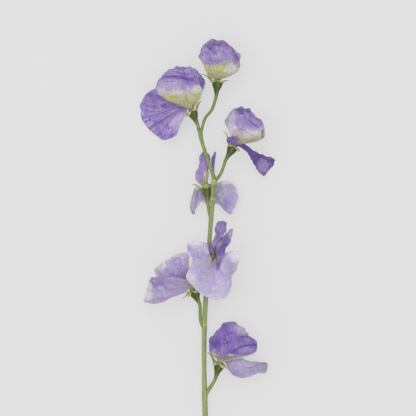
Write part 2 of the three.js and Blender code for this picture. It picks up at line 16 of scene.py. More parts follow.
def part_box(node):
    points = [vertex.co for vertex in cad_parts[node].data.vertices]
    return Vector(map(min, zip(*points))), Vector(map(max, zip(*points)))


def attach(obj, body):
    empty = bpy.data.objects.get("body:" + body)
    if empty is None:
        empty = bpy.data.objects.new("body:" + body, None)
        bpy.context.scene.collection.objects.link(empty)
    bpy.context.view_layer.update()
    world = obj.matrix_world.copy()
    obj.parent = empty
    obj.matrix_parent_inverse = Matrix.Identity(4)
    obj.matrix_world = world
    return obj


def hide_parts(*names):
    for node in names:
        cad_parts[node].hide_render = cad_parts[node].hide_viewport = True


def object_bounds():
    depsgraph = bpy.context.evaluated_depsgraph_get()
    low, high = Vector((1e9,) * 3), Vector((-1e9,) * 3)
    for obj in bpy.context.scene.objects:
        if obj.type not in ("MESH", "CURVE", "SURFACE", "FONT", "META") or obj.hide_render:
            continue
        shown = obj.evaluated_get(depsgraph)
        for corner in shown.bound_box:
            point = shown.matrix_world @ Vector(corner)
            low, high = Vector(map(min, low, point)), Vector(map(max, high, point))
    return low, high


bl_info = {
    "name": "Sweet Pea Flower",
    "version": (1, 0, 0),
    "blender": (4, 5, 0),
    "location": "View3D > Sidebar > Sweet Pea",
    "description": "Builds a cut sweet pea stem with its green parts, petals and a plain stage",
    "category": "Object",
}

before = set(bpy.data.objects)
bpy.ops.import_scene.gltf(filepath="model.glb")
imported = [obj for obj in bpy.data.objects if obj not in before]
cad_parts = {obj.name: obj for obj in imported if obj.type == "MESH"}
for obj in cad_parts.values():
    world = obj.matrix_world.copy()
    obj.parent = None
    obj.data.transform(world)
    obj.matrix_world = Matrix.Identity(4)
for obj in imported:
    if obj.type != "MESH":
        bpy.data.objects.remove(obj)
CAD_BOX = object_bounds()
MM = 0.001

# ---------------------------------------------------------------- the plant, in millimetres
# mouth is the middle of a calyx's rim, axis the way that it faces and top its upper side. Stem and pedicel
# stations are (x, y, z, radius). Sepals are (length, rise), from the underside round by the left. Petal
# stations are (x, y, z, half breadth, depth), and a claw is added in front of them. focus is the point that
# the hollow side faces, grain the direction that the sections stand square to, outline (shoulder, power)
# shortens the edges, fan spreads the two sides by so many degrees, lobes are the reach of the left and of
# the right side from the middle outwards, and ruffle is (height, waves, phase).

CLAW_DEPTH = 2.8
CLAW_HALF_BREADTH = 0.6
CLAW_OFFSET = 1.5
CLAW_CURL = 0.1
CLAW_EXIT = 0.4
CLAW_SHARE = 0.18
CLAW_PLACES = {"standard": (1.15, 0), "keel": (-1, 0), "wing_left": (0, -1), "wing_right": (0, 1)}
SECTION_TURN = math.radians(60)

CALYX_LENGTH = 12.5
CALYX_LEVELS = (1, 0.6, 0.3, 0)
CALYX_RADII = (1.25, 2, 3.53, 4.2)
CALYX_RIM = 0.45
CALYX_FLOOR_DEPTH = 3.2
SEPAL_BLADE = ((0.2, 0.25, 1.3, 0.3), (0.6, 0.85, 0.8, 0.3), (1, 1, 0.3, 0.1))
SEPAL_ROOT = (-1.2, -0.5, 1.5, 0.3)
SEPAL_START = 0.2
SEPAL_FOCUS = 40
SEPAL_BREADTH, SEPAL_TAPER, SEPAL_EDGE = 1.6, 0.6, 0.4
SEPAL_ROOT_DARK, SEPAL_LIGHT, SEPAL_LIGHT_END = 0.3, 1.3, 0.5
SEPAL_GRID = (18, 8)
CALYX_RINGS = 90
RIM_RISE, CUP_START, CUP_RINGS, CUP_TAPER, CUP_FLOOR_RADIUS = 0.35, 0.05, 6, 0.25, 0.4

# Shares of the rows and columns of a broad petal's mesh, and the grid of a packed keel.
STANDARD_DETAIL, WING_DETAIL, LOBE_DETAIL, KEEL_DETAIL = 1, 0.65, 0.4, 0.35
FEWEST_FACES = (12, 10)
PACKED_GRID = (6, 4)

# Relief of a petal, in millimetres or as scales of its noise per millimetre.
SEED_STEPS = (7.31, 3.17, 1.93)
DENT_SCALE, DENT_HEIGHT = 0.12, 1.1
WARP_SCALE, WARP_REACH = 0.09, 3
FOLD_SCALE, FOLD_HEIGHT, FOLD_SHARPNESS = 0.21, 0.5, 2.6
FINE_FOLD_SCALE, FINE_FOLD_SHARE = 0.5, 0.3
FRILL_SCALE, FRILL_HEIGHT, FRILL_REACH = 0.26, 1.8, 2.4
RELIEF_STARTS = (0.05, 0.45)
RUFFLE_MIDDLE, RUFFLE_EDGE, RUFFLE_SLANT = 0.3, 0.7, 2
THINNING = 3
DIP_END = 0.06

# Ridges and swellings of the green parts.
NODE_SWELLING, NODE_REACH = 0.16, 3.2
RIDGES, RIDGE_TWIST = 5, 0.004
CALYX_RIDGE = 0.035
CALYX_DARK, CALYX_DARK_ENDS, RIB_LIGHT = 1.05, (0.4, 0.75), 0.45
RIM_LIGHT, RIM_START = 1.7, 0.97
FIRST_NORMAL = (0.31, 0.17, 0.94)

MAIN_STEM = [
    (-0.6, -235, 2.3, 2.3), (-1.4, -190, 5.5, 2.15), (-2.25, -154.5, 8.5, 2.05), (-3, -118, 12, 1.7),
    (-2.7, -88, 15, 1.8), (-1.8, -69, 17, 1.8), (1.05, -24, 20.5, 1.6), (2.85, -1.5, 22, 1.6),
    (4.2, 15.5, 23, 1.7), (4.6, 21, 23.3, 1.9), (3.3, 26, 23.6, 1.4), (-0.6, 37.5, 24.2, 1.3),
    (-3.6, 46.5, 24.6, 1.25), (-5.6, 54.9, 24.8, 1.4), (-4.9, 60, 24.8, 1.15),
]

BLOOMS = {
    "bloom_1": {
        "mouth": (7.1, 95.3, 24.6),
        "axis": (0.1, 1, 0),
        "top": (-0.1, 0, 1),
        "pedicel": [(-5.2, 57, 24.8, 1.1), (-2.3, 67, 24.8, 1.1), (2.9, 73.9, 24.8, 1.1)],
        "sepals": [(4, 0), (9.5, 4), (4, -1.5), (3.5, -1), (4.5, 1)],
        "standard": {
            "focus": (9, 112, 18), "grain": (-0.05, 1, 0), "outline": (0.1, 3), "ruffle": (0.35, 3, 0.4),
            "blade": [
                (9, 98.2, 29, 8, 0.5), (11, 101.4, 33.2, 12.6, 2.5), (10.6, 106.5, 36.6, 13.8, 7),
                (8.7, 112.5, 38, 15.2, 10), (6.6, 118.5, 37.4, 14.4, 11), (5.6, 123, 34.6, 12.4, 7.5),
                (5.6, 125.8, 30, 10.6, 3.5),
            ],
        },
        "wing_left": {"form": "wing", "side": -1},
        "wing_right": {"form": "wing", "side": 1},
        "keel": {"form": "keel"},
    },
    "bloom_2": {
        "mouth": (-12.4, 73.1, 25),
        "axis": (-0.38, 0.9, 0.05),
        "top": (0.05, 0, 1),
        "pedicel": [(-5.4, 54.5, 24.8, 1.2), (-7.3, 59, 24.8, 1.15)],
        "sepals": [(4, -1), (1.9, -2.8), (2.2, -2.5), (4, -1), (6.5, 3.5)],
        "standard": {
            "focus": (-20, 92, 18), "grain": (-0.05, 1, 0), "outline": (0.1, 3),
            "ruffle": (0.35, 3, 1.6),
            "blade": [
                (-15.2, 77, 29.6, 6.8, 0.5), (-18.9, 80.4, 33.8, 13.4, 2.5),
                (-20.7, 85.5, 37.6, 17.4, 6.5), (-20.3, 91.5, 39.4, 18.4, 10),
                (-19.9, 97, 38.8, 18.6, 11.5), (-20.7, 102, 36, 16.8, 8),
                (-20.9, 105.5, 31.2, 12.8, 4.5),
            ],
        },
        "wing_left": {
            "focus": (-34, 66, 160), "fan": (50, 45), "ruffle": (0.8, 3, 0.5),
            "lobes": (
                (0.95, 0.9, 0.84, 0.76, 0.6),
                (0.95, 0.94, 0.85, 0.73, 0.6),
            ),
            "blade": [
                (-15.4, 75.6, 25.8, 1.2, 0), (-20, 74.4, 24, 1.2, -0.4), (-27, 73.4, 19.8, 1.2, -0.8),
                (-35.5, 72.4, 13.2, 1.2, -1), (-44, 71.2, 5.8, 1.2, 0), (-53.1, 69.9, -1.5, 1.2, 1),
            ],
        },
        "wing_right": {
            "focus": (-20, 90, 18), "outline": (0.25, 2.4), "ruffle": (0.4, 2, 0),
            "blade": [
                (-10, 77.6, 24.6, 2, 0.6), (-8.6, 82.5, 24.6, 4.2, 1.8), (-9, 89.5, 24.6, 5.8, 2.6),
                (-11, 95.5, 24, 4.8, 2.2),
            ],
        },
        "keel": {"form": "keel"},
    },
    "bloom_3": {
        "mouth": (19.2, 46.6, 25),
        "axis": (0.48, 0.87, 0),
        "top": (0.1, 0, 1),
        "pedicel": [(5.5, 20.5, 23.3, 1.3), (7.9, 23.3, 23.8, 1.2), (10.6, 28, 24.4, 1.15)],
        "sepals": [(3.5, -1), (8.5, 6), (3, -2), (3.5, -1.5), (3, -1.5)],
        "standard": {
            "focus": (27, 63, 18), "grain": (0.1, 1, 0), "outline": (0.1, 3), "ruffle": (0.35, 3, 2.5),
            "blade": [
                (27.6, 50.2, 29, 8.6, 0.5), (29, 52.4, 33, 13.4, 2.5), (28.6, 56.6, 36.6, 14.6, 7),
                (27, 62, 38, 14.6, 9.5), (26.2, 67.8, 37.4, 13.8, 9.5), (25.6, 72.8, 34.6, 11.4, 7),
                (25.2, 75.8, 30, 8.6, 4),
            ],
        },
        "wing_left": {
            "focus": (20, 49, -40), "outline": (0.2, 2.5), "ruffle": (0.2, 2, 0),
            "blade": [
                (17.3, 49.3, 26, 0.8, 0.2), (16.2, 50, 29.2, 0.9, 0.3), (15.6, 50.4, 32.6, 2, 0.4),
                (16.8, 50.8, 35.4, 3, 0.6), (19.2, 49.7, 36.4, 3, 0.6), (22, 46.8, 35.2, 2, 0.3),
            ],
        },
        "wing_right": {
            "focus": (40, 30, 120), "outline": (0.08, 2.5), "ruffle": (0.4, 2, 1),
            "blade": [
                (24, 47.6, 24.6, 1.6, 0.3), (28.6, 45, 24.2, 2, 0.6), (33, 41.2, 21.2, 2.4, 0.8),
                (37, 37.6, 15.8, 4.6, 1.6), (41.6, 33.8, 8.6, 7.2, 2.4), (47.4, 29.8, 0.3, 7.4, 2),
            ],
        },
        "keel": {"form": "keel"},
    },
    "bloom_4": {
        "mouth": (-1.2, 14.3, 16.6),
        "axis": (-0.08, 0.92, -0.35),
        "top": (0.05, -0.35, -1),
        "pedicel": [(2.4, -10, 21, 1.3), (1.2, -5, 20.9, 1.25)],
        "sepals": [(4, 1), (6.5, 2), (1.8, -1), (1.8, -1), (6.5, 3.5)],
        "standard": {
            "focus": (1, 15, 160), "fan": (180, 180), "ruffle": (0.7, 5, 0.8),
            "lobes": (
                (
                    0.12, 0.12, 0.12, 0.12, 0.12, 0.12, 0.13, 0.14, 0.16, 0.18, 0.2, 0.24, 0.36, 0.58,
                    0.67, 0.75, 0.84, 0.87, 0.64, 0.65, 0.66,
                ),
                (
                    0.12, 0.12, 0.12, 0.12, 0.12, 0.13, 0.17, 0.36, 0.66, 0.75, 0.81, 0.85, 0.88, 0.9,
                    0.92, 0.94, 0.95, 0.72, 0.68, 0.66, 0.66,
                ),
            ),
            "blade": [
                (0.4, 16.8, 10.4, 1.3, 0), (0.6, 22, 9.4, 1.3, 0.6), (0.8, 30.6, 9, 1.3, 0.8),
                (1.25, 45.4, 9, 1.3, 0),
            ],
        },
        "wing_left": {
            "focus": (-60, 32, 20), "outline": (0.2, 2.5), "ruffle": (0.3, 2, 2),
            "blade": [
                (2.6, 18.4, 15.4, 1.8, 0.3), (4.2, 24, 15.4, 3.6, 1), (4.6, 31, 15.4, 4.4, 1.6),
                (5.2, 37.5, 15.2, 4.8, 2.2), (6, 42.6, 15, 3.6, 2),
            ],
        },
        "wing_right": {
            "focus": (4, 30, -40), "outline": (0.2, 2.5), "ruffle": (0.3, 2, 0.5),
            "blade": [
                (-4, 18.2, 15.8, 2, 0.4), (-5.2, 22.8, 15.4, 4.6, 0.8), (-4.4, 27.5, 15, 4.4, 1),
                (-2.8, 32.5, 14.6, 3.6, 1), (-2.6, 38, 14, 4.2, 1), (-3, 43, 13.4, 3, 0.6),
            ],
        },
        "keel": {
            "focus": (-1, 24, 4), "outline": (0.2, 2),
            "blade": [
                (-1.5, 17.6, 18.8, 1.3, 0.3), (-1.9, 21.4, 20, 2.1, 1), (-1.7, 25.4, 20.4, 2.3, 1.4),
                (-1.1, 29, 20, 1.5, 1),
            ],
        },
    },
    "bloom_5": {
        "mouth": (5.9, -36, 30.4),
        "axis": (0.2, 0.35, 0.9),
        "top": (-0.1, -0.93, 0.35),
        "pedicel": [(-1, -53, 18, 1.3), (1.2, -46.5, 18.6, 1.3)],
        "sepals": [(5, 0), (3.5, -1), (4.5, -2), (4.5, -2), (6, 0.5)],
        "standard": {
            "focus": (4, 160, 190), "fan": (130, 165), "ruffle": (0.7, 5, 0.2),
            "lobes": (
                (0.97, 0.96, 0.8, 0.64, 0.64, 0.66, 0.67, 0.68, 0.44),
                (0.97, 0.9, 0.84, 0.83, 0.62, 0.6, 0.82, 0.75, 0.51),
            ),
            "blade": [
                (4.8, -40.4, 34.6, 1.2, 0), (4.4, -45.5, 35.8, 1.2, 0.5), (4.4, -53, 36, 1.2, 0),
                (4.8, -61, 35.2, 1.2, -1), (5.4, -69.8, 33.2, 1.2, -2),
            ],
        },
        "wing_left": {
            "focus": (30, -32, -10), "outline": (0.2, 2.5), "ruffle": (0.25, 2, 0.5),
            "blade": [
                (2.2, -33.4, 34.6, 2.4, 0.5), (2.8, -29.2, 38, 2.9, 1), (5.2, -25, 41, 2.6, 1.2),
                (7.8, -20.8, 43.2, 2.5, 1.2), (8.6, -16.4, 44.8, 4.6, 1), (10.6, -12.9, 45.6, 4.8, 0.6),
                (13.6, -10.6, 45.8, 2.6, 0.3),
            ],
        },
        "wing_right": {
            "focus": (-12, -30, 0), "outline": (0.2, 2.5), "ruffle": (0.25, 2, 2),
            "blade": [
                (9.2, -35.4, 34.4, 2.8, 0.5), (10.6, -30, 37.6, 4, 1.2), (13.4, -25, 40.2, 3.8, 1.2),
                (16, -20.2, 42.2, 2.8, 1), (17.8, -15.2, 43.6, 1.6, 0.5),
            ],
        },
        "keel": {
            "focus": (7, -40, 46), "outline": (0.2, 2),
            "blade": [
                (6.6, -33.4, 33.2, 1.2, 0.3), (7.8, -29.4, 35.2, 1.6, 1), (9.4, -25, 37.6, 1.7, 1.2),
                (11, -21, 40, 1.1, 0.8),
            ],
        },
    },
    "bloom_6": {
        "mouth": (-11, -62, 20),
        "axis": (-0.38, 0.9, 0.15),
        "top": (-0.25, -0.2, 1),
        "pedicel": [(-3.2, -91, 15, 1.3), (-5.6, -84.5, 15.8, 1.3)],
        "sepals": [(4, -1), (8, -3.5), (2.5, -2.5), (4, -1.5), (4, -1)],
        "standard": {
            "focus": (-30, -60, 160), "outline": (0.03, 3), "ruffle": (0.7, 3, 0.6),
            "blade": [
                (-13.8, -58.6, 24.6, 2.6, 0.4), (-18, -58.4, 26, 5.4, 1), (-24, -58.6, 26, 7.2, 1.6),
                (-31, -59.4, 24.8, 8.8, 2), (-37, -61.4, 22.6, 9.7, 1.4), (-41.6, -62.1, 20.4, 10, 1),
                (-45.8, -61.2, 18.2, 10, 0.5),
            ],
        },
        "wing_left": {
            "focus": (-22, -44, 160), "outline": (0.14, 2.5), "ruffle": (0.7, 3, 1.6),
            "blade": [
                (-15, -57.4, 19.8, 2.4, 0.3), (-18.6, -51.4, 20.4, 6.5, 1),
                (-23.4, -46.8, 20.4, 13, 1.6), (-27, -42.4, 19.6, 14.8, 1.6),
                (-29.6, -38, 18.4, 12.4, 1),
            ],
        },
        "wing_right": {
            "focus": (-8, -45, 120), "outline": (0.2, 2.5), "ruffle": (0.4, 2.5, 0),
            "blade": [
                (-8.4, -58, 21, 2, 0.3), (-6.4, -53.5, 22.6, 3.6, 0.8), (-4.4, -48.5, 23.8, 4.6, 1.2),
                (-3.8, -44, 24.2, 4, 1),
            ],
        },
        "keel": {
            "focus": (-14, -50, 60), "outline": (0.2, 2),
            "blade": [
                (-11.8, -59, 17.8, 1.3, 0.2), (-12.8, -55.8, 16.6, 1.8, 0.8), (-14.2, -52, 16, 2, 1),
                (-15.4, -48.6, 16.4, 1.3, 0.6),
            ],
        },
    },
    "bloom_7": {
        "mouth": (8.8, -117, 18),
        "axis": (0.27, 0.95, 0.1),
        "top": (-0.1, 0, 1),
        "pedicel": [(-2.2, -142, 10, 1.4), (0.4, -137.6, 11.2, 1.4), (3.6, -132.6, 14, 1.3)],
        "sepals": [(3.5, -1), (8, 4.5), (4, -1.5), (3, -2), (2.5, -2.5)],
        "standard": {
            "focus": (18.5, -98, 13), "grain": (0, 1, 0), "outline": (0.1, 3), "ruffle": (0.35, 3, 3.5),
            "blade": [
                (16.2, -111.8, 24.4, 12, 0.5), (18.4, -109.8, 28.2, 17.2, 2.5),
                (19.2, -105.2, 31.2, 18, 7), (18.4, -99.4, 32.6, 17.6, 10),
                (16.8, -93.6, 31.6, 15.6, 11), (16.8, -88.8, 28.6, 13, 9), (17, -85.4, 24, 9, 6),
            ],
        },
        "wing_left": {"form": "wing", "side": -1},
        "wing_right": {
            "focus": (30, -125, 120), "outline": (0.06, 3), "ruffle": (0.5, 2, 0.6),
            "blade": [
                (12.2, -114, 18.8, 1.4, 0.2), (15.6, -115.4, 20.2, 3, 0.5), (19.4, -118.2, 20, 6, 1),
                (24.4, -120.6, 18.8, 7.2, 1.4), (30, -121.4, 17, 6, 1.6), (36.8, -120.2, 14.6, 4.2, 1.6),
                (44.8, -120.6, 11, 4.8, 0.6),
            ],
        },
        "keel": {"form": "keel"},
    },
}

# Petals that several blooms share. Their places are (along the calyx, towards its top, to its right).
FORMS = {
    "keel": {
        "focus": (11, 8, 0), "outline": (0.25, 2),
        "blade": [
            (2.5, -2.1, 0, 1.4, 0.3), (7, -3.6, 0, 2.6, 1.6), (12, -3.2, 0, 3.2, 2.6),
            (15.5, -0.8, 0, 2.6, 2.4),
        ],
    },
    "wing": {
        "focus": (13, -4, 0), "outline": (0.25, 2.4), "ruffle": (0.5, 2, 1),
        "blade": [
            (2.5, 0.2, 2.6, 1.8, 0.4), (7, -0.4, 5.6, 4, 1.4), (13, 0.2, 7.6, 6.4, 2.6),
            (19, 0.6, 7.4, 6.4, 2.6), (23.5, 0.8, 5.6, 4, 1.4),
        ],
    },
}

# Pale rings on the stem, as (height in the layout, half width, strength).
STEM_MARKS = ((20.5, 0.8, -0.9), (18.4, 0.6, -0.7), (6.8, 0.6, -0.8), (-87.8, 0.8, -0.8))

# ---------------------------------------------------------------- how each petal looks
# Places are (x, y) in the flower's layout, in millimetres. levels are the shares of the blade's length where
# the foot colour ends, the band starts, the band ends and the body starts; tilt slants them. patches are soft
# spots (x, y, half width, half height, colour, strength). lines are dark lines through two points, as
# (start, end, width, strength, height), the height being how far the blade dips along them; on the petals'
# creases and folds their dark is painted shade, on the open keel they are its own fine lines. rim is (colour,
# width, strength). crumple is the strength of the small folds in the mesh and of the painted shade along
# their creases, and streaks and veins are that of the marks along the blade. cloud and frill scale the soft
# mottling and the waves of the margin, and detail the mesh's rows and columns. wander is how far the levels
# sway, and relief the height of the bumps in millimetres. Patches of a CLEAN colour lie over the veins,
# others under.

CLEAN = ("white", "frost", "pale_lime")

HOOD = {
    "slot": "hood", "foot": "lime", "band": "ivory", "body": "mauve", "light": "lilac", "vein": "deep",
    "levels": (0.16, 0.42, 0.36, 0.62), "streaks": 0.4, "veins": 0.26, "crumple": 1.1, "relief": 0.85,
    "frill": 1.2, "wander": 0.1,
}
OPEN = {
    "slot": "pale", "foot": "lime", "band": "pale", "body": "pale", "light": "frost", "vein": "violet",
    "levels": (0, 0.08, 0.1, 0.3), "streaks": 0.12, "veins": 0.3, "crumple": 0.3, "cloud": 0.6,
    "relief": 0.55,
}
WING = {
    "slot": "dark", "foot": "cream", "band": "violet", "body": "violet", "light": "lilac", "vein": "deep",
    "levels": (0.02, 0.12, 0.1, 0.4), "streaks": 0.5, "veins": 0.35, "crumple": 0.6, "relief": 0.6,
}
KEEL = {
    "slot": "keel", "foot": "lime", "band": "cream", "body": "cream", "light": "white", "vein": "tan",
    "levels": (0.02, 0.3, 0.2, 0.6), "streaks": 0.3, "veins": 0.3, "crumple": 0.2,
}
SOFT = {
    **HOOD, "foot": "cream", "band": "lilac", "body": "lilac", "light": "frost", "vein": "violet",
    "levels": (0.02, 0.2, 0.1, 0.3), "streaks": 0.2, "crumple": 0.4, "frill": 0.9,
}

